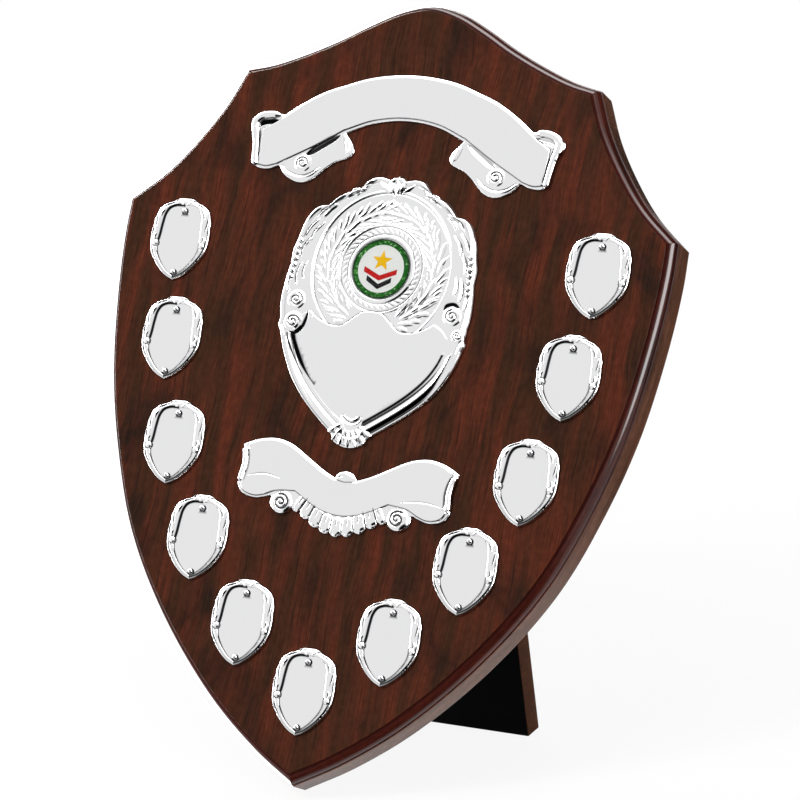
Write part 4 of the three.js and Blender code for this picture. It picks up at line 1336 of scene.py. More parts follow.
@dataclass
class Backboard:
    """The moulded board: an ovolo and a quirk round its face, and a black back.

    Its skin is made of bands between rings. The back's and the side's last bands are counted
    from the back, the quirk's and the face's first bands from the face.
    """

    axes: BoardAxes
    step: float = 1.8
    moulding_width: float = 3.9
    moulding_depth: float = 5.6
    arris: float = 0.5
    quirk: float = 0.9
    face_round: float = 0.25
    back_round: float = 0.5
    round_share: float = 0.3
    face_margin: float = 0.6
    edge_hold: float = 0.4
    ovolo_turn: int = 9
    round_turn: int = 30
    corner_turn: float = 14
    crossing_share: float = 0.995
    smooth_below: float = 25
    weld: float = 0.01
    back_bands: int = 3
    side_bands: int = 7
    quirk_bands: int = 8
    face_bands: int = 4

    def section(self, depth: float) -> list[Pair]:
        """Draws the edge's section.

        Args:
            depth: The board's thickness.

        Returns:
            Pairs of inset and level, from the back to the face.
        """
        back, arris, shelf = self.back_round, self.arris, -self.moulding_depth
        cut = self.round_share
        section = [
            (back + self.face_margin, -depth),
            (back, -depth),
            (back * cut, -depth + back * cut),
            (0, -depth + back),
            (0, -depth + back + self.edge_hold),
            (0, shelf - arris - self.edge_hold),
            (0, shelf - arris),
            (arris * cut, shelf - arris * cut),
        ]
        for degrees in range(0, RIGHT_ANGLE + 1, self.ovolo_turn):
            turn = radians(degrees)
            across = (self.moulding_width - arris) * (1 - cos(turn))
            up = (self.moulding_depth - self.quirk) * sin(turn)
            section.append((arris + across, shelf + up))
        for degrees in range(0, RIGHT_ANGLE + 1, self.round_turn):
            turn = radians(degrees)
            across = self.face_round * (1 - cos(turn))
            level = -self.face_round * (1 - sin(turn))
            section.append((self.moulding_width + across, level))
        section.append((self.moulding_width + self.face_round + self.face_margin, 0))
        return section

    def build(self) -> None:
        """Skins the board from rings round its outline."""
        seat = self.axes.seat("backboard")
        outline = mirrored(half_line(BOARD_SHARES, seat.width, seat.height, self.step))
        section = self.section(seat.depth)
        count, last = len(outline), len(section)
        vertices, faces = skinned([
            np.column_stack([self.mitred(outline, side), np.full(count, level)])
            for side, level in section
        ])
        board = add_piece(
            "moulded_backboard", vertices, faces, self.axes.matrix,
            [STAINED_EDGE, BLACK_PAINT, WALNUT, SIDE_STAIN_WITH_PAINTED_LIGHT, QUIRK_STAIN_WITH_PAINTED_SHADE],
            Body.SHIELD, ["backboard"], self.smooth_below,
        )
        zones = np.full(len(faces), Zone.EDGE, np.int32)
        # The side takes the stain lightened as painted light, the quirk the one darkened as painted
        # shade.
        zones[: 1 + count * self.side_bands] = Zone.SIDE
        zones[: 1 + count * self.back_bands] = Zone.BACK
        zones[1 + count * (last - self.quirk_bands) :] = Zone.QUIRK
        zones[1 + count * (last - self.face_bands) :] = Zone.FACE
        board.data.polygons.foreach_set("material_index", zones)
        self.lay_run(board, outline, section)
        work = bmesh.new()
        work.from_mesh(board.data)
        bmesh.ops.remove_doubles(work, verts=work.verts, dist=self.weld * MM)
        work.to_mesh(board.data)
        work.free()

    def mitred(self, outline: Points, side: float) -> Points:
        """Moves the outline inwards, and gathers at each corner's mitre what would cross it.

        Args:
            outline: The board's outline.
            side: How far it moves.

        Returns:
            As many points as the outline has.
        """
        moved = inset(outline, side)
        if side <= 0:
            return moved
        runs = np.roll(outline, -1, 0) - outline
        heading = np.arctan2(runs[:, 1], runs[:, 0])
        turned = np.abs((heading - np.roll(heading, 1) + pi) % tau - pi)
        reach = ceil(side * 2 / self.step)
        crossing = nearest_on(closed(outline), moved)[0] < side * self.crossing_share
        for corner in np.flatnonzero(turned > radians(self.corner_turn)):
            for way in (-1, 1):
                for i in range(1, reach + 1):
                    near = (corner + way * i) % len(outline)
                    if crossing[near]:
                        moved[near] = moved[corner]
        return moved

    def lay_run(self, board: Thing, outline: Points, section: Pairs) -> None:
        """Stores how far round and across the edge each vertex lies, for the grain to follow.

        Args:
            board: The board.
            outline: Its outline.
            section: Its edge's section.
        """
        sides = np.hypot(*(np.roll(outline, -1, 0) - outline).T)
        around = np.concatenate([[0], np.cumsum(sides)[:-1]])
        around = np.minimum(around, sides.sum() - around)
        steps = np.hypot(*np.diff(np.array(section), axis=0).T)
        across = np.concatenate([[0], np.cumsum(steps)])
        run = np.zeros((len(section), len(outline), 3), np.float32)
        run[..., 0], run[..., 1] = across[:, None] * MM, around[None] * MM
        layer = board.data.attributes.new("run", "FLOAT_VECTOR", "POINT")
        layer.data.foreach_set("vector", run.ravel())


# Sections of the centre shield's rim, as pairs of distance from the edge and height.
ROLLED_RIM = ((0, 0.5), (0.15, 0.9), (0.5, 1.75), (0.95, 2.3), (1.4, 2.35), (1.9, 2), (2.5, 1.75))
BROAD_MOULDING = (
    (0, 0.5), (0.25, 1.15), (0.8, 1.25), (1.5, 1.6), (1.75, 1.62), (3, 2.45), (3.5, 2.55),
    (4.6, 1.88), (4.85, 1.85), (6.1, 2.45), (6.5, 2.47),
)
NARROW_MOULDING = (
    (0, 0.5), (0.3, 1.5), (0.7, 1.9), (1.6, 2.05), (2.6, 2.12), (3.15, 2.5), (3.5, 2.55),
    (4.6, 1.88), (4.85, 1.85), (5.5, 2.22), (6.2, 2.44), (6.5, 2.47),
)
# The hook of painted shade round the left lower volute, and the one over the right upper volute.
LEFT_HOOK = ((28.6, 54.6), (28.7, 50.6), (29.9, 47), (32.6, 44.7), (35.4, 44.9))
RIGHT_HOOK = ((30.6, 60.5), (31.6, 62.8), (34.4, 63.6), (37.4, 62.4))
# Strokes on the right half of the centre shield, in its own axes, and mirrored to the left.
ACANTHUS = (
    ((38.7, 61.2), (39.4, 66), (38.2, 71.2)), ((36, 64.8), (36.6, 69.5), (35.4, 74.6)),
    ((38.9, 72.4), (38.6, 76), (36.8, 79.4)), ((33.4, 67.4), (33.9, 71.4), (33.1, 75)),
    ((36.4, 76.6), (35.9, 81), (33.6, 85.4)), ((36.6, 85.4), (34.8, 89.6), (31.6, 93.4)),
    ((33.6, 83.6), (32, 88.6), (28.8, 92.2)), ((32.4, 94.6), (29.8, 98), (25.6, 100.4)),
)
CREST_CURLS = (
    ((9.6, 112), (13.6, 110.6), (17.4, 106.6)), ((13.4, 108), (17.4, 106.8), (21.6, 104)),
    ((22.6, 104.4), (26.2, 101.8), (28.8, 98.8)), ((24.6, 100.6), (27.6, 98), (30, 94.6)),
)
# Rows of laurel leaves: their lean in degrees, the radius of their roots and their length.
LAUREL_ROWS = ((-21, 24.8, 8.4), (4, 23.4, 8.8), (27, 22.2, 8.2), (-34, 26.4, 5), (16, 20.2, 6.6))
CREST_BENDS = (
    ((1.2, 109.6), (0.5, 106.4)), ((4.2, 110), (1.8, 106.8)), ((-1.6, 108.6), (-0.4, 106.2)),
)


@dataclass
class CentreShield:
    """The big stamped shield: scalloped rim, laurel wreath, insert bezel and plain panel."""

    axes: BoardAxes
    tilt: float = -0.9
    pitch: float = 0.25
    ground: float = 1.8
    rim: float = 3
    panel: float = 2.3
    panel_calm: float = 1.7
    foot: float = 1.9
    rim_width: float = 3.4
    moulding_width: float = 6.9
    flank_narrows: Pair = (16, 38)
    flank_ends: Pair = (40, 46)
    flank_swell: float = 2.9
    insert_share: float = 0.656
    insert_radius: float = 12.5
    insert_gap: float = 0.3
    insert_floor: float = 1
    insert_thickness: float = 0.6
    dome_edge: float = 0.4
    dome_crown: float = 1.5
    bezel_top: float = 2.25
    bezel_width: float = 1.6
    circle_sides: int = 240
    print_sides: int = 120
    dome_sides: int = 72
    dome_steps: int = 15
    oval_x: float = 30.1
    oval_y: float = 32.5
    branch_start: float = -62
    branch_turn: float = 146
    leaves: int = 15
    leaf_width: float = 1.75
    rope_strands: int = 40
    seat: Seat = field(init=False)
    middle: np.ndarray = field(init=False)
    relief: Relief = field(init=False)

    def __post_init__(self) -> None:
        """Measures the plate on the frame."""
        self.seat = self.axes.seat("centre_shield", self.tilt)
        self.middle = np.array([0, self.insert_share * self.seat.height])

    def build(self) -> None:
        """Stamps the plate, then sets the print and its dome."""
        width, height = self.seat.width, self.seat.height
        outline = mirrored(half_line(CENTRE_SHARES, width, height, self.pitch))
        panel = mirrored(half_line(PANEL_SHARES, width, height, self.pitch))
        bore = self.insert_radius + self.insert_gap
        circle = unit_circle(self.circle_sides)
        rings = [self.middle + circle * (bore + off) for off in (0, EDGE_STEPS[0])]
        calm = [inset(panel, self.panel_calm), rings[0]]
        busy = [self.hook(side) for side in (-1, 1)]
        self.relief = Relief(outline, self.pitch, [*rings, panel], calm, busy)
        self.stamp_rim()
        self.stamp_wreath()
        self.stamp_rope()
        self.stamp_panel(panel)
        self.paint_flank_shade()
        self.stamp_scrolls()
        self.stamp_crest()
        self.stamp_tip()
        self.stamp_bezel()
        self.swell_flank()
        add_plate("stamped_centre_shield", self.relief, self.seat.matrix, "centre_shield")
        self.print_disc()
        self.pour_dome()

    def polar(self) -> tuple[np.ndarray, np.ndarray]:
        """Measures each point from the insert's middle.

        Returns:
            The distance, and how far outside the oval the point lies.
        """
        offset = self.relief.points - self.middle
        share = np.hypot(offset[:, 0] / self.oval_x, offset[:, 1] / self.oval_y)
        return np.hypot(*offset.T), (share - 1) * (self.oval_x + self.oval_y) / 2

    def stamp_rim(self) -> None:
        """Presses a rolled edge above and a broad double moulding round the lower half."""
        relief = self.relief
        upper = relief.profile((*ROLLED_RIM, (self.rim_width, self.ground)))
        inner = (self.moulding_width, self.panel)
        broad = relief.profile((*BROAD_MOULDING, inner), rounded=False)
        narrow = relief.profile((*NARROW_MOULDING, inner), rounded=False)
        x, y = relief.points.T
        share = eased(y, *self.flank_narrows)
        lower = broad * (1 - share) + narrow * share
        share = eased(y, *self.flank_ends)
        relief.height = lower * (1 - share) + upper * share
        # Painted shade in the hollows: lower moulding at the left flank only, and the upper rim.
        flank = (1 - share) * (x < 0)
        relief.darkening(relief.edge, at=0.9, width=0.16, dark=0.8 * flank)
        relief.darkening(relief.edge, at=4.75, width=0.22, dark=0.6 * flank)
        relief.darkening(relief.edge, at=2.5, width=0.22, dark=0.3 * share)

    def paint_flank_shade(self) -> None:
        """Paints shade down the flanks' hollows: a taper at the left, two bands at the right."""
        relief = self.relief
        x, y = relief.points.T
        left_top, right_top, taper_top, taper_length = 44.5, 42.5, 42, 20
        drawn = eased(y, 24, 37) * (x < 0) * (y < left_top)
        down = np.clip(taper_top - y, 0, taper_length)
        dark = np.where(drawn > 0, 2.6, 0)
        relief.darkening(relief.edge, at=5.9 + 0.09 * down, width=0.12 + 0.78 * drawn, dark=dark)
        dark = np.where(drawn > 0.2, 1.6, 0)
        relief.darkening(relief.edge, at=3.5 + 0.12 * down, width=0.1 + 0.25 * drawn, dark=dark)
        right = (x > 5) * (y < right_top)
        broad = 1 - eased(y, 22, 37)
        width = 0.2 + 0.55 * broad
        relief.darkening(relief.edge, at=3.3 - 1.1 * broad, width=width, dark=2.4 * right)
        relief.darkening(relief.edge, at=6.5, width=0.38 + 0.12 * broad, dark=2.6 * right)

    def stamp_wreath(self) -> None:
        """Sinks the oval inside a raised line, then lays two laurel branches."""
        relief = self.relief
        outside = self.polar()[1]
        within = outside < 0
        relief.height[within] = self.ground - 0.15
        relief.painted_shade[within] = 0
        relief.swell(outside, at=0.4, half=0.5, rise=0.25)
        relief.swell(outside, at=-0.4, half=0.4, rise=-0.15)
        # Painted shade inside the raised line, deeper at the left.
        dark = np.where(relief.points[:, 0] < 4, 0.85, 0.25)
        relief.darkening(outside, at=-0.3, width=0.2, dark=dark)
        chance = random.Random(7)
        for side in (-1, 1):
            for i in range(self.leaves):
                turn = self.branch_start + self.branch_turn * i / (self.leaves - 1)
                for lean, reach, length in LAUREL_ROWS:
                    heading = lean + chance.uniform(-6, 6)
                    place = turn + chance.uniform(-2, 2)
                    self.lay_leaf(side, place, heading, reach, length)

    def lay_leaf(self, side: int, turn: float, lean: float, reach: float, length: float) -> None:
        """Lays one laurel leaf, with a stroke of painted shade beside it.

        Args:
            side: 1 for the right branch, -1 for the left.
            turn: Where its root stands round the insert, in degrees.
            lean: How far it leans in from the branch's run, in degrees.
            reach: The radius of its root.
            length: Its length.
        """
        place, heading = radians(turn), radians(turn + RIGHT_ANGLE + lean)
        root = np.array([cos(place), sin(place)]) * reach
        tip = root + length * np.array([cos(heading), sin(heading)])
        flip = np.array([side, 1])
        root, tip = self.middle + root * flip, self.middle + tip * flip
        self.relief.leaf(
            root, tip, width=self.leaf_width, level=self.ground - 0.2, rise=0.5, bow=side * 0.3
        )
        beside = np.array([0.6, -0.75])
        stroke = np.array([root + 0.2 * (tip - root), root + 0.85 * (tip - root)]) + beside
        middle = stroke.mean(0) - self.middle
        if hypot(middle[0] / self.oval_x, middle[1] / self.oval_y) < 0.94:
            dark = self.shaded(atan2(middle[1], middle[0]))
            self.relief.line(stroke, 0.75, -0.12, dark=dark, taper=0.45)

    def stamp_rope(self) -> None:
        """Rings the insert with a twisted rope between two grooves, with painted shade in the gaps.
        """
        relief, ground = self.relief, self.ground
        distance = self.polar()[0]
        inner = (distance < 18.9) & (distance > 12)
        relief.height[inner] = ground
        relief.painted_shade[inner] = 0
        relief.ring(self.middle, 18.6, 1, 0.3)
        relief.ring(self.middle, 17.9, 0.6, -0.25, dark=0.75)
        relief.ring(self.middle, 14.8, 0.55, -0.25, dark=0.7)
        for i in range(self.rope_strands):
            turn = tau * i / self.rope_strands
            root, tip = self.spot(15.1, turn), self.spot(17.5, turn + 0.16)
            relief.leaf(root, tip, 1.15, ground - 0.05, rise=0.32)
            gap = np.array([self.spot(15.2, turn + 0.08), self.spot(17.4, turn + 0.24)])
            relief.line(gap, 0.6, -0.1, dark=self.shaded(turn), taper=0.4)

    def spot(self, radius: float, turn: float) -> np.ndarray:
        """Gives a place at a radius and an angle, in radians, round the insert."""
        return self.middle + radius * np.array([cos(turn), sin(turn)])

    def shaded(self, turn: float) -> float:
        """Gives the hollows' painted shade: most at the upper left and the lower right."""
        return 0.2 + 1.1 * max(0, cos(2 * turn - radians(260))) ** 2

    def stamp_panel(self, panel: Points) -> None:
        """Lays the plain lower panel, under its three-lobed upper edge.

        Args:
            panel: The panel's outline.
        """
        relief, middle_reach, brink_reach = self.relief, 26, 27
        found = relief.near(panel, 0)
        found = found[inside(panel, relief.points[found])]
        x, y = relief.points[found].T
        gap = distances([panel], relief.points[found], 0.1)
        shoulder = np.where(np.abs(x) < middle_reach, 0.5, 4)
        lobed = np.where(y > 41, np.sqrt(np.clip(gap / shoulder, 0, 1)), 1)
        blend = lobed * eased(relief.edge[found], 5.9, 6.8)
        relief.height[found] += (self.panel - relief.height[found]) * blend
        relief.painted_shade[found] *= 1 - blend
        # Painted shade along the upper edge, heaviest at its left lobe.
        brink = panel[(panel[:, 1] > 42) & (np.abs(panel[:, 0]) < brink_reach)]
        relief.line(brink, 0.7, -0.15, dark=0.55)
        shaded = brink[(brink[:, 0] > -15) & (brink[:, 0] < -6)]
        relief.line(shaded, 0.8, -0.15, dark=0.9, taper=0.2)

    def hook(self, side: int) -> Points:
        """Draws the hook of painted shade at one side."""
        return stroke(LEFT_HOOK if side < 0 else RIGHT_HOOK, side)

    def stamp_scrolls(self) -> None:
        """Works the rim at the sides: scroll ends, acanthus strokes and beads."""
        relief, foot = self.relief, self.foot
        for side in (-1, 1):
            start = 100 if side > 0 else 80
            relief.volute((34.8 * side, 58.6), 3.9, self.rim - 0.2, foot, start=start, hand=side)
            x, y, radius = (34.3, 49.2, 4.2) if side < 0 else (38.2, 50.6, 2.7)
            start = 270 - 30 * side
            relief.volute((x * side, y), radius, self.rim, foot, start=start, hand=-side)
            # Painted shade in the hook, beside each acanthus stroke and round the beads.
            relief.line(self.hook(side), 2.2, -0.4, dark=1.8, taper=0.35)
            for places in ACANTHUS:
                curve = stroke(places, side)
                relief.line(curve, 1.5, 0.4, taper=0.35)
                beside = curve + (0.75 * side, -0.2)
                relief.line(beside, 0.85, -0.35, dark=0.9, taper=0.4)
            for i in range(7):
                bead = (side * (39.6 - 0.25 * i), 68.2 + 2.6 * i)
                relief.boss(bead, 1.1, 2.75, foot)
                relief.ring(bead, 1.25, 0.45, -0.2, dark=0.75 if side > 0 else 0.4)

    def stamp_crest(self) -> None:
        """Works the crest: a palmette between two pairs of curling leaves."""
        relief, ground = self.relief, self.ground
        for side in (-1, 1):
            for places in CREST_CURLS:
                curve = stroke(places, side)
                relief.line(curve, 1.7, 0.4, taper=0.35)
                below = curve + (-0.35 * side, -0.8)
                # Painted shade under each curl.
                relief.line(below, 0.8, -0.3, dark=0.85, taper=0.4)
            relief.leaf((side, 107.6), (4 * side, 112.9), 2.6, ground, rise=0.9)
            relief.leaf((2.2 * side, 107.2), (8 * side, 111.6), 2.4, ground, rise=0.8)
            relief.volute((17.6 * side, 106.6), 2, 2.5, ground, start=90, hand=side)
        relief.leaf((0, 106), (0, 113.8), 2.4, ground, rise=1.1)
        for bend in CREST_BENDS:
            # Painted shade in the bends.
            relief.line(np.array(bend), 1, -0.5, dark=1, taper=0.4)

    def stamp_tip(self) -> None:
        """Fans a small shell over the point, under a cup."""
        relief, hub, cup = self.relief, np.array([0, 12.4]), (0, 14.4)
        ribs, spread = 7, 18
        for i in range(ribs):
            turn = radians(spread * (i - ribs // 2))
            away = np.array([sin(turn), -cos(turn)])
            relief.leaf(hub + 4.2 * away, hub + 12.2 * away, 2.9, 1.6, rise=1.3)
        for i in range(ribs - 1):
            turn = radians(spread * (i - ribs // 2) + spread / 2)
            away = np.array([sin(turn), -cos(turn)])
            valley = np.array([hub + 6 * away, hub + 10.5 * away])
            # Painted shade in the valleys between the ribs.
            relief.line(valley, 0.55, -0.2, dark=0.9, taper=0.35)
        # The middle groove of the cup gets painted shade.
        for reach, rise, dark in ((3, 0.4, 0), (3.9, -0.35, 0.9), (5, 0.35, 0)):
            curve = arc(cup, reach, radians(196), radians(344), 16)
            relief.line(curve, 0.9, rise, dark=dark, taper=0.3)

    def stamp_bezel(self) -> None:
        """Presses the bezel's round lip and sinks the seat of the insert."""
        relief, distance = self.relief, self.polar()[0]
        bore = self.insert_radius + self.insert_gap
        across = [bore, bore + 0.5, bore + 1.3, bore + self.bezel_width]
        lip = np.interp(distance, across, [2.1, self.bezel_top, 2.15, self.foot])
        brink = bore + 0.05
        on = (distance > brink) & (distance < bore + self.bezel_width)
        relief.height[on] = lip[on]
        relief.height[distance <= brink] = self.insert_floor
        relief.painted_shade[on | (distance <= brink)] = 0

    def swell_flank(self) -> None:
        """Lets the right lower flank swell further out than the left one, as the pressing does."""
        x, y = self.relief.points.T
        out = self.flank_swell * np.sin(pi * np.clip((y - 4) / 50, 0, 1))
        self.relief.points[:, 0] = x + out * np.clip(x / 30, 0, 1) ** 1.5

    def print_disc(self) -> None:
        """Prints a star over two chevrons, inside a ring of glitter, on the vinyl disc."""
        radius = self.insert_radius
        circle = unit_circle(self.print_sides)
        ring = circle * radius * 0.8
        tips = [radians(90 + 36 * i) for i in range(10)]
        star = np.array([
            (cos(turn) * reach, 3.3 + sin(turn) * reach)
            for turn, reach in zip(tips, [4.6, 1.9] * 5)
        ])
        red, black = (
            np.array([(-w, y), (0, y - 3.2), (w, y), (w, y - 2.2), (0, y - 5.4), (-w, y - 2.2)])
            for w, y in ((7.2, 0.4), (5.4, -3.2))
        )
        loops = [circle * radius, ring, star, red, black]
        flat, triangles = triangulated(loops, np.empty((0, 2)), 1e-5)
        count = len(flat)
        low = np.column_stack([flat, np.zeros(count)])
        high = np.column_stack([flat, np.full(count, self.insert_thickness)])
        rim = list(range(len(circle)))
        faces: list[Sequence[int]] = triangles.tolist()
        faces += [(a + count, b + count, b, a) for a, b in zip(rim, rim[1:] + rim[:1])]
        faces.append([a + count for a in reversed(rim)])
        place = self.seat.at(*self.middle, self.insert_floor + self.insert_gap)
        disc = add_piece(
            "printed_vinyl_disc", np.vstack([high, low]), faces, place,
            [WHITE_VINYL, GREEN_GLITTER, YELLOW_INK, RED_INK, BLACK_INK],
            Body.SHIELD, ["centre_print"],
        )
        middles = np.array([tuple(face.center.xy) for face in disc.data.polygons]) / MM
        white = radius * 0.8 * cos(pi / self.print_sides)
        inked = np.where(np.hypot(*middles.T) > white, 1, 0)
        for number, loop in enumerate((star, red, black), 2):
            inked[inside(loop, middles)] = number
        inked[len(triangles) :] = 0
        disc.data.polygons.foreach_set("material_index", inked.astype(np.int32))

    def pour_dome(self) -> None:
        """Pours the clear dome over the print. It casts no shadow, so the inks stay as bright."""
        radius, edge, crown, soft = self.insert_radius, self.dome_edge, self.dome_crown, 0.1
        profile = [(radius - soft, 0), (radius, soft), (radius, edge - soft)]
        for i in range(1, self.dome_steps):
            out = cos(radians(RIGHT_ANGLE * i / self.dome_steps))
            profile.append((radius * out, edge + (crown - edge) * (1 - out**2)))
        level = self.insert_floor + self.insert_thickness + 2 * self.insert_gap
        vertices, faces = lathe(profile, self.dome_sides)
        dome = add_piece(
            "clear_resin_dome", vertices, faces, self.seat.at(*self.middle, level), [RESIN],
            Body.SHIELD, ["centre_dome"],
        )
        dome.visible_shadow = False


# Sections of the two scrolls' flanges, as pairs of distance from the edge and height.
TOP_FLANGE = ((0, 0.4), (0.12, 0.75), (0.35, 0.98), (0.7, 1.05))
LOWER_FLANGE = ((0, 0.4), (0.12, 0.75), (0.35, 0.95), (0.7, 1))
FLANGE_WIDTH = 1.4


@dataclass
class TopScroll:
    """The arched ribbon with curled ears, rolled ends and tails folded behind it."""

    axes: BoardAxes
    pitch: float = 0.25
    tail: float = 1.2
    band: float = 1.8
    band_calm: float = 1.4
    shoulder: float = 0.5
    roll: float = 2.7
    flange: float = 0.7
    relief: Relief = field(init=False)

    def build(self) -> None:
        """Stamps the plate."""
        seat = self.axes.seat("top_scroll")
        size = (seat.width, seat.height, self.pitch)
        band = inset(mirrored(half_line(TOP_BAND_SHARES, *size)), self.flange)
        steps = [band, *(inset(band, step) for step in EDGE_STEPS)]
        outline = mirrored(half_line(TOP_SCROLL_SHARES, *size))
        relief = Relief(outline, self.pitch, steps, [inset(band, self.band_calm)])
        self.relief = relief
        relief.height = relief.profile((*TOP_FLANGE, (FLANGE_WIDTH, self.tail)))
        self.fold_tails()
        # The band's foot gets painted shade.
        relief.plateau(band, self.band, self.shoulder, dark=1)
        self.roll_ends()
        add_plate("stamped_top_scroll", relief, seat.matrix, "top_scroll")

    def fold_tails(self) -> None:
        """Sinks each tail under the band, rolls its end and winds its volute."""
        relief = self.relief
        for side in (-1, 1):
            gap = np.array([(28.6, 21.4), (33, 18.6), (38, 15), (42.8, 11.6)]) * (side, 1)
            # Painted shade in the gap under the band, much darker at the left.
            relief.line(gap, 4, -0.7, dark=1 if side < 0 else 0.35, taper=0.3)
            start = -30 if side > 0 else 210
            relief.volute((43.2 * side, 8.3), 3.8, 2.1, 1.1, start=start, hand=side)
            sweep = stroke([(53, 6.4), (48.8, 3.2), (43.5, 2), (38.8, 3.6), (35.2, 6.8)], side)
            relief.line(sweep, 1.3, 0.4, taper=0.3)
            # Painted shade under the sweep.
            relief.line(sweep + (0, 1.1), 0.7, -0.3, dark=0.9, taper=0.4)
            end = stroke([(22.9, 13.4), (24.1, 16), (25.5, 20.2)], side)
            relief.roll(end, 1.7, 1.6, 1, taper=0.2)
            # Painted shade beside the rolled end.
            relief.line(end + (1.3 * side, 0), 0.6, -0.15, dark=0.5, taper=0.4)

    def roll_ends(self) -> None:
        """Rolls the ribbon's ends, and curls the ears over them."""
        relief = self.relief
        for side in (-1, 1):
            pocket = stroke([(57.6, 25.9), (61.5, 25.2), (65, 24.4), (66.6, 22.4)], side)
            # Painted shade in the pocket under the ear, much darker at the left.
            relief.line(pocket, 3.2, -0.7, dark=1.5 if side < 0 else 0.2, taper=0.3)
            ear = [(57.5, 28.2), (61.5, 28.4), (65.5, 27.2), (68, 24.6), (67.6, 20.6), (66.2, 15.5)]
            relief.roll(stroke(ear, side), 3.6, self.roll, 1.1, taper=0.12)
            end = stroke([(65.2, 5.8), (65.7, 10.5), (66.3, 15.5), (67.4, 20.6), (67.8, 23)], side)
            relief.roll(end, 3, self.roll, 1, taper=0.06)
            beside = end + (-1.8 * side, 0.2)
            # Painted shade beside the rolled end, darker at the right.
            relief.line(beside, 1.1, -0.35, dark=1 if side > 0 else 0.8, taper=0.2)


# Creases across the lower scroll's ribbon.
CREASES = (
    ((-44, 19.6), (-36, 21.4), (-28, 20.4)),
    ((26, 17.8), (36, 19), (44.4, 18)),
)


@dataclass
class LowerScroll:
    """The wavy ribbon with rolled ends, two volutes, a knob and a fluted shell."""

    axes: BoardAxes
    tilt: float = -1.5
    pitch: float = 0.24
    shell: float = 1.2
    hub_share: float = 1.15
    ribbon: float = 1.8
    ribbon_calm: float = 3.4
    shoulder: float = 0.5
    roll: float = 2.7
    flange: float = 0.6
    relief: Relief = field(init=False)

    def outline(self, width: float, height: float) -> tuple[Points, Points]:
        """Draws the plate's edge.

        Args:
            width: The plate's width.
            height: The plate's height.

        Returns:
            The whole loop, and the notches of the shell from right to left.
        """
        half = half_line(LOWER_SCROLL_SHARES, width, height, self.pitch)
        notches = np.array(NOTCH_SHARES) / THOUSAND * (width / 2, height)
        both = np.vstack([notches, notches[::-1] * (-1, 1)])
        lobes: list[np.ndarray] = []
        for start, end in zip(both, both[1:]):
            run = end - start
            outward = np.array([-run[1], run[0]])
            points = [start, *(start + run * along + outward * out for along, out in LOBE_SHARES)]
            lobes.append(smooth_line([*points, end], self.pitch)[1:])
        left = half[1:] * (-1, 1)
        loop = np.vstack([half, *lobes, left[::-1][1:]])
        return loop[::-1], both

    def build(self) -> None:
        """Stamps the plate."""
        seat = self.axes.seat("lower_scroll", self.tilt)
        width, height = seat.width, seat.height
        outline, notches = self.outline(width, height)
        ribbon = inset(mirrored(half_line(RIBBON_SHARES, width, height, self.pitch)), self.flange)
        steps = [ribbon, *(inset(ribbon, step) for step in EDGE_STEPS)]
        creases = [stroke(crease) for crease in CREASES]
        relief = Relief(outline, self.pitch, steps, [inset(ribbon, self.ribbon_calm)], creases)
        self.relief = relief
        relief.height = relief.profile((*LOWER_FLANGE, (FLANGE_WIDTH, self.shell)))
        relief.boss((0, 22.6), 5.1, self.ribbon + 0.25, 0.7)
        self.flute_shell(notches, height)
        # The ribbon's foot, the creases and the knob's groove get painted shade.
        relief.plateau(ribbon, self.ribbon, self.shoulder, dark=0.9)
        for crease in creases:
            relief.line(crease, 1, -0.25, dark=0.5, taper=0.45)
        knob = np.array([(-4.6, 24.3), (-1.5, 24.6)])
        relief.line(knob, 0.8, -0.3, dark=1, taper=0.3)
        for side in (-1, 1):
            self.roll_end(side)
        add_plate("stamped_lower_scroll", relief, seat.matrix, "lower_scroll")

    def roll_end(self, side: int) -> None:
        """Rolls one end of the ribbon and winds the volute under it.

        Args:
            side: 1 for the right end, -1 for the left.
        """
        relief, start = self.relief, 60 if side > 0 else 120
        relief.volute((25.8 * side, 10.7), 4.7, self.roll, 1, start=start, hand=side)
        end = stroke([(46.9, 31), (45.9, 27.5), (45.5, 23.5), (46, 19.5), (46.2, 16.6)], side)
        relief.roll(end, 2.5, self.roll, 1, taper=0.08)
        dark = 0.95 if side > 0 else 0.45
        # Painted shade beside the rolled end, darker at the right.
        relief.line(end + (-1.75 * side, 0), 1.1, -0.3, dark=dark, taper=0.25)

    def flute_shell(self, notches: Points, height: float) -> None:
        """Presses the shell's ribs, with a line of painted shade from each notch to the ribbon.

        Args:
            notches: The shell's notches, from right to left.
            height: The plate's height.
        """
        relief, hub = self.relief, np.array([0, height * self.hub_share])
        for start, end in zip(notches, notches[1:]):
            middle = (start + end) / 2
            away = (middle - hub) / np.linalg.norm(middle - hub)
            wide = float(np.linalg.norm(end - start)) * 0.92
            rib = np.array([middle - away * 6.5, middle + away * 0.5])
            relief.roll(rib, wide, 1.9, 1.1, taper=0.2)
            flute = np.array([middle - away * 6, middle - away * 2.2])
            # Painted shade down each flute.
            relief.line(flute, 0.8, -0.3, dark=0.5, taper=0.4)
        for notch in notches[1:-1]:
            away = (notch - hub) / np.linalg.norm(notch - hub)
            valley = np.array([notch - away * 6.4, notch])
            relief.line(valley, 0.8, -0.4, dark=0.95, taper=0.4)


# The section of a small shield's rim, as pairs of distance from the edge and height, and its
# slope down to the field, as pairs of distance inside the field's edge and height.
SIDE_RIM = (
    (0, 0.4), (0.1, 1), (0.25, 1.28), (0.55, 1.4), (0.85, 1.42), (1, 1.36), (1.2, 1.46),
    (1.7, 1.62), (2.1, 1.64), (3.2, 1.5),
)
SIDE_SLOPE = ((-0.6, 2), (-0.4, 1.6), (-0.05, 1.06))
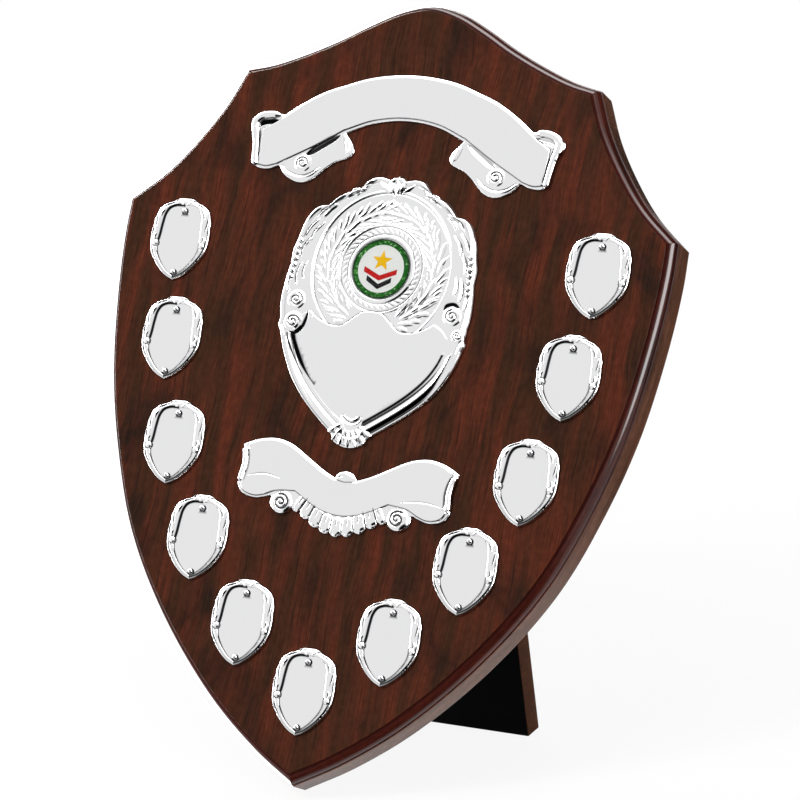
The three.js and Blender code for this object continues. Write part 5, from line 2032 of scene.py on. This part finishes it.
# Engraved strokes on its right half, and mirrored to the left.
SIDE_STROKES = (
    ((11.6, 27.6), (11.7, 24.6), (11.2, 21.4)), ((12.4, 23), (12.7, 20.4), (12.3, 17.8)),
    ((9.8, 31), (7.4, 32.4), (4, 33.6)), ((10.6, 19.4), (11.2, 18), (10.9, 16.6)),
    ((12.2, 14.6), (11, 11), (8.6, 7.4)), ((6.4, 33.8), (3.6, 34.4), (1, 34.2)),
    ((8.6, 30), (9.7, 28.4), (10.1, 26.6)),
)
NAIL_SHARES = (0.848, 0.1)


@dataclass
class SideShields:
    """The eleven small shields, each on two domed nails."""

    axes: BoardAxes
    count: int = 11
    pitch: float = 0.22
    ground: float = 1
    field_edge: float = 0.12
    field_calm: float = 0.8
    stroke_step: float = 0.3
    dimple: float = 1.15
    nail_head: float = 0.7
    nail_sides: int = 20
    nail_turn: int = 14

    def stamp(self, width: float, height: float) -> Relief:
        """Stamps one small shield.

        Args:
            width: Its width.
            height: Its height.

        Returns:
            Its face.
        """
        outline = mirrored(half_line(SIDE_SHARES, width, height, self.pitch))
        loop = mirrored(half_line(SIDE_FIELD_SHARES, width, height, self.pitch))
        busy = [np.array([(-0.8, share * height), (0.8, share * height)]) for share in NAIL_SHARES]
        relief = Relief(outline, self.pitch, [loop], [inset(loop, self.field_calm)], busy)
        gap = distances([loop], relief.points, 0.1)
        signed = np.where(inside(loop, relief.points), gap, -gap)
        outer = relief.profile(SIDE_RIM)
        across, up = zip(*SIDE_SLOPE, (self.field_edge, self.ground))
        relief.height = np.minimum(np.interp(signed, across, up), outer)
        relief.height[signed > self.field_edge] = self.ground
        self.darken(relief, signed)
        self.engrave(relief, height)
        return relief

    def darken(self, relief: Relief, signed: np.ndarray) -> None:
        """Paints shade round the field and on the rim, most at the upper left and lower right.

        Args:
            relief: The shield's face.
            signed: How far each point lies inside the field's edge.
        """
        x, y = relief.points.T
        left, high = x < 0, y > 16.6
        low = 1 - eased(y, 15, 19)
        dark = np.where(left, np.where(high, 2.4, 1.6), np.where(high, 0.6, 3) * (y < 31))
        width = np.where(left & high, 0.4, np.where(left, 0.22, 0.34))
        relief.darkening(signed, at=-0.12, width=width, dark=dark)
        width, dark = np.where(left, 0.12, 0.26), np.where(left, 0.5, 2.4) * low
        relief.darkening(relief.edge, at=0.95, width=width, dark=dark)
        relief.darkening(relief.edge, at=0.5, width=0.1, dark=np.where(left, 0.3, 1.1) * (y < 26))

    def engrave(self, relief: Relief, height: float) -> None:
        """Works the rim's scrolls and strokes, and a dimple round each nail, with painted shade.

        Args:
            relief: The shield's face.
            height: Its height.
        """
        for side in (-1, 1):
            for places in SIDE_STROKES:
                curve = stroke(places, side, self.stroke_step)
                relief.line(curve, 0.75, -0.25, dark=1.3, taper=0.45)
                relief.line(curve + (0.6 * side, 0.1), 0.8, 0.18, taper=0.4)
            relief.boss((10.9 * side, 15.4), 1.3, 2, 1.3)
            dark = 1.3 if side < 0 else 0.4
            relief.ring((10.6 * side, 15.3), 1.45, 0.6, -0.15, dark=dark)
            relief.leaf((0.8 * side, 32.6), (3.4 * side, 34.4), 1.3, 1.5, rise=0.4)
        for share in NAIL_SHARES:
            place = (0.25, share * height - 0.35)
            relief.ring(place, self.dimple, 1, -0.15, dark=1.6)

    def build(self) -> None:
        """Makes the shields and their nails."""
        first = self.axes.seat("side_shield_01")
        relief = self.stamp(first.width, first.height)
        for number in range(1, self.count + 1):
            node = f"side_shield_{number:02d}"
            add_plate(f"stamped_{node}", relief, self.axes.seat(node).matrix, node)
            for end in ("top", "bottom"):
                self.drive_nail(f"pin_{number:02d}_{end}")

    def drive_nail(self, node: str) -> None:
        """Makes one domed nail, from its point to its crown.

        Args:
            node: The node that it stands for.
        """
        seat = self.axes.seat(node)
        radius, head = seat.width / 2, self.nail_head
        shank, under = radius / 2, seat.depth - head
        profile = [(0.06, 0), (shank, under * 0.2), (shank, under), (radius * 0.94, under)]
        for degrees in range(0, 85, self.nail_turn):
            turn = radians(degrees)
            profile.append((radius * cos(turn), under + head * (0.12 + 0.88 * sin(turn))))
        vertices, faces = lathe(profile, self.nail_sides)
        add_piece(
            f"domed_nail_{node.removeprefix('pin_')}", vertices, faces,
            seat.at(0, seat.height / 2, 0), [NAIL_STEEL], Body.SHIELD, [node], 50,
        )


@dataclass
class Strut:
    """The black painted leg, with its sawn edges stained brown."""

    rounding: float = 0.6

    def build(self) -> None:
        """Rounds the edges of the leg that the frame holds."""
        work = bmesh.new()
        for vertex in frame["nodes"]["strut"].data.vertices:
            work.verts.new(vertex.co / MM)
        hull = bmesh.ops.convex_hull(work, input=work.verts)
        spare = {*hull["geom_interior"], *hull["geom_unused"]}
        spare = [part for part in spare if isinstance(part, bmesh.types.BMVert)]
        bmesh.ops.delete(work, geom=spare)
        bmesh.ops.dissolve_limit(work, angle_limit=radians(1), verts=work.verts, edges=work.edges)
        bmesh.ops.bevel(
            work, geom=work.edges[:], offset=self.rounding, segments=3, profile=0.5, affect="EDGES"
        )
        bmesh.ops.recalc_face_normals(work, faces=work.faces)
        work.verts.index_update()
        vertices = np.array([tuple(vertex.co) for vertex in work.verts])
        faces = [[vertex.index for vertex in face.verts] for face in work.faces]
        sawn = [abs(face.normal.x) > 0.5 or face.normal.z < -0.5 for face in work.faces]
        work.free()
        leg = add_piece(
            "painted_strut_panel", vertices, faces, Matrix.Identity(4), [BLACK_PAINT, SAWN_EDGE],
            Body.LEG, ["strut"], 30,
        )
        leg.data.polygons.foreach_set("material_index", np.array(sawn, np.int32))


@dataclass
class Fittings:
    """The hinge and the hanger, which keep their frame shapes with softened edges."""

    rounding: float = 0.18

    def build(self) -> None:
        """Dresses every fitting's node."""
        names = ["hinge_leaf_board", "hinge_leaf_strut", "hinge_pin"]
        names += [f"hinge_screw_{side}_{i}" for side in ("board", "strut") for i in (1, 2)]
        for name in names:
            self.dress(name, BRASS, Slot.BRASS)
        for name in ("wall_hanger", "hanger_screw_1", "hanger_screw_2"):
            self.dress(name, ZINC, Slot.ZINC)

    def dress(self, name: str, finish: Finish, slot: Slot) -> None:
        """Gives one node its finish and rounds its edges.

        Args:
            name: The node's name.
            finish: What it is made of.
            slot: The record's slot of that finish. It is not used.
        """
        node = frame["nodes"][name]
        node.data.materials.clear()
        node.data.materials.append(finish.material())
        bevel = node.modifiers.new("softened_edges", "BEVEL")
        bevel.width = self.rounding * MM
        bevel.segments = 2
        bevel.limit_method = "ANGLE"
        bevel.angle_limit = radians(35)
        LOG.info("%s: kept from the frame", name)


@dataclass(frozen=True)
class Card:
    """A card that only gloss mirrors, and its level where the white room is 1.

    In degrees: how far right of the object's front and above the level it stands, the radius
    within which it is plain and the one at which it ends.
    """

    turn: float
    rise: float
    inner: float
    outer: float
    level: float

    def direction(self) -> Triple:
        """Gives the unit vector from the object to the card's middle."""
        turn, rise = radians(self.turn), radians(self.rise)
        return sin(turn) * cos(rise), -cos(turn) * cos(rise), sin(rise)


@dataclass
class Studio:
    """The camera, the lamps, the white sweep and the room that the metal mirrors."""

    eye: Triple = (0.5178, -1.1550, 0.4705)
    look: Triple = (-0.3878, 0.8879, -0.2475)
    lens: float = 143.6
    sensor: float = 36
    ambient: float = 0.33
    floor_size: float = 12
    cards: tuple[Card, ...] = (
        Card(24, -13, 20, 28, 0.02),
        Card(42, -38, 28, 42, 0.02),
        Card(20, 86, 20, 38, 4.5),
        Card(-160, 52, 36, 62, 2.6),
        Card(84, 18, 14, 26, 18),
        Card(-118, 2, 30, 50, 20),
        Card(158, 12, 36, 52, 0.02),
    )

    def build(self) -> None:
        """Sets everything up round the object."""
        self.place_camera()
        self.hang_lamp("key_softbox", (-0.45, -1.15, 1.4), 0.35, 17)
        self.hang_lamp("crest_softbox", (0.05, -0.45, 1.1), 0.4, 2.4)
        self.hang_lamp("fill_softbox", (-1.4, -0.9, 0.9), 0.9, 5)
        self.hang_lamp("side_softbox", (1.45, 0.05, 0.35), 0.6, 5.5)
        self.hang_lamp("rear_softbox", (-0.7, 1.5, 1.2), 0.9, 10)
        self.paint_room()
        self.lay_floor()

    def place_camera(self) -> None:
        """Stands the camera where the photograph was taken from."""
        data = bpy.data.cameras.new("camera")
        data.lens, data.sensor_width = self.lens, self.sensor
        data.clip_start, data.clip_end = 0.05, 50
        camera = bpy.data.objects.new("camera", data)
        camera.location = self.eye
        camera.rotation_euler = Vector(self.look).to_track_quat("-Z", "Y").to_euler()
        bpy.context.scene.collection.objects.link(camera)
        bpy.context.scene.camera = camera

    def hang_lamp(self, name: str, place: Triple, size: float, power: float) -> None:
        """Hangs a square softbox that faces the object and isn't mirrored.

        Args:
            name: The lamp's name.
            place: Where it hangs, in metres.
            size: The length of its side, in metres.
            power: Its power, in watts.
        """
        data = bpy.data.lights.new(name, "AREA")
        data.size, data.energy = size, power
        lamp = bpy.data.objects.new(name, data)
        lamp.location = place
        aim = Vector((0, 0, 0.15)) - Vector(place)
        lamp.rotation_euler = aim.to_track_quat("-Z", "Y").to_euler()
        lamp.visible_camera = lamp.visible_glossy = lamp.visible_transmission = False
        bpy.context.scene.collection.objects.link(lamp)

    def seen_directly(self, tree: Tree) -> Socket:
        """Tells the rays that reach the eye, straight or through clear resin, from the others.

        Args:
            tree: The material's or the world's nodes.

        Returns:
            1 for those rays, and 0 for the others.
        """
        path = add_node(tree, "LightPath").outputs
        inputs: Inputs = {0: path["Diffuse Depth"], 1: 0.5}
        straight = add_node(tree, "Math", inputs, operation="LESS_THAN")
        inputs = {0: path["Is Transmission Ray"], 1: straight.outputs[0]}
        through = add_node(tree, "Math", inputs, operation="MULTIPLY")
        inputs = {0: path["Is Camera Ray"], 1: through.outputs[0]}
        seen = add_node(tree, "Math", inputs, operation="MAXIMUM")
        return seen.outputs[0]

    def paint_room(self) -> None:
        """Makes the world white to the eye, with cards that only the gloss mirrors."""
        world = bpy.data.worlds.new("white_room")
        bpy.context.scene.world = world
        world.use_nodes = True
        tree = world.node_tree
        back = tree.nodes["Background"]
        towards = add_node(tree, "TexCoord").outputs["Generated"]
        mirrored_level: Setting = 1.0
        for card in self.cards:
            inputs: Inputs = {0: towards, 1: card.direction()}
            facing = add_node(tree, "VectorMath", inputs, operation="DOT_PRODUCT")
            inputs = {
                "Value": facing.outputs["Value"],
                "From Min": cos(radians(card.outer)),
                "From Max": cos(radians(card.inner)),
                "To Min": 1,
                "To Max": card.level,
            }
            level = add_node(tree, "MapRange", inputs, interpolation_type="SMOOTHSTEP")
            inputs = {0: mirrored_level, 1: level.outputs["Result"]}
            mirrored_level = add_node(tree, "Math", inputs, operation="MULTIPLY").outputs[0]
        plain = add_node(tree, "Mix", {0: self.seen_directly(tree), 2: self.ambient, 3: 1.0})
        path = add_node(tree, "LightPath").outputs
        inputs = {0: path["Is Glossy Ray"], 1: path["Is Transmission Ray"]}
        gloss = add_node(tree, "Math", inputs, operation="SUBTRACT", use_clamp=True)
        inputs = {0: gloss.outputs[0], 2: plain.outputs[0], 3: mirrored_level}
        strength = add_node(tree, "Mix", inputs)
        tree.links.new(strength.outputs[0], back.inputs["Strength"])
        back.inputs["Color"].default_value = (1, 1, 1, 1)

    def lay_floor(self) -> None:
        """Lays the white sweep, which keeps the object's shadow and fades to plain white."""
        half = self.floor_size / 2
        mesh = bpy.data.meshes.new("white_sweep")
        corners = [(-half, -half, 0), (half, -half, 0), (half, half, 0), (-half, half, 0)]
        mesh.from_pydata(corners, [], [(0, 1, 2, 3)])
        floor = bpy.data.objects.new("white_sweep", mesh)
        floor.visible_glossy = False
        bpy.context.scene.collection.objects.link(floor)
        material = bpy.data.materials.new("white_paper_sweep")
        material.use_nodes = True
        tree = material.node_tree
        shader = tree.nodes["Principled BSDF"]
        paper = {"Base Color": linear("#F4F4F4"), "Roughness": 0.9, "Specular IOR Level": 0.1}
        feed(tree, shader, paper)
        place = add_node(tree, "TexCoord").outputs["Object"]
        away = add_node(tree, "VectorMath", {0: place}, operation="LENGTH").outputs["Value"]
        inputs: Inputs = {"Value": away, "From Min": 0.2, "From Max": 0.55, "To Min": 0.9}
        faded = add_node(tree, "MapRange", inputs, interpolation_type="SMOOTHSTEP")
        inputs = {0: self.seen_directly(tree), 1: faded.outputs["Result"]}
        white = add_node(tree, "Math", inputs, operation="MULTIPLY")
        glow = add_node(tree, "Emission", {"Color": (1, 1, 1, 1), "Strength": 1})
        inputs = {0: white.outputs[0], 1: shader.outputs[0], 2: glow.outputs[0]}
        mixed = add_node(tree, "MixShader", inputs)
        tree.links.new(mixed.outputs[0], tree.nodes["Material Output"].inputs["Surface"])
        mesh.materials.append(material)


def main() -> None:
    """Builds the shield and the studio, in order."""
    logging.basicConfig(level=logging.INFO, format="%(name)s %(message)s")
    bpy.context.scene.view_settings.view_transform = "Standard"
    axes = BoardAxes.from_frame()
    Studio().build()
    for part in (
        Backboard(axes), CentreShield(axes), TopScroll(axes), LowerScroll(axes),
        SideShields(axes), Strut(), Fittings(),
    ):
        LOG.info("building %s", type(part).__name__)
        part.build()


if __name__ == "__main__":
    main()
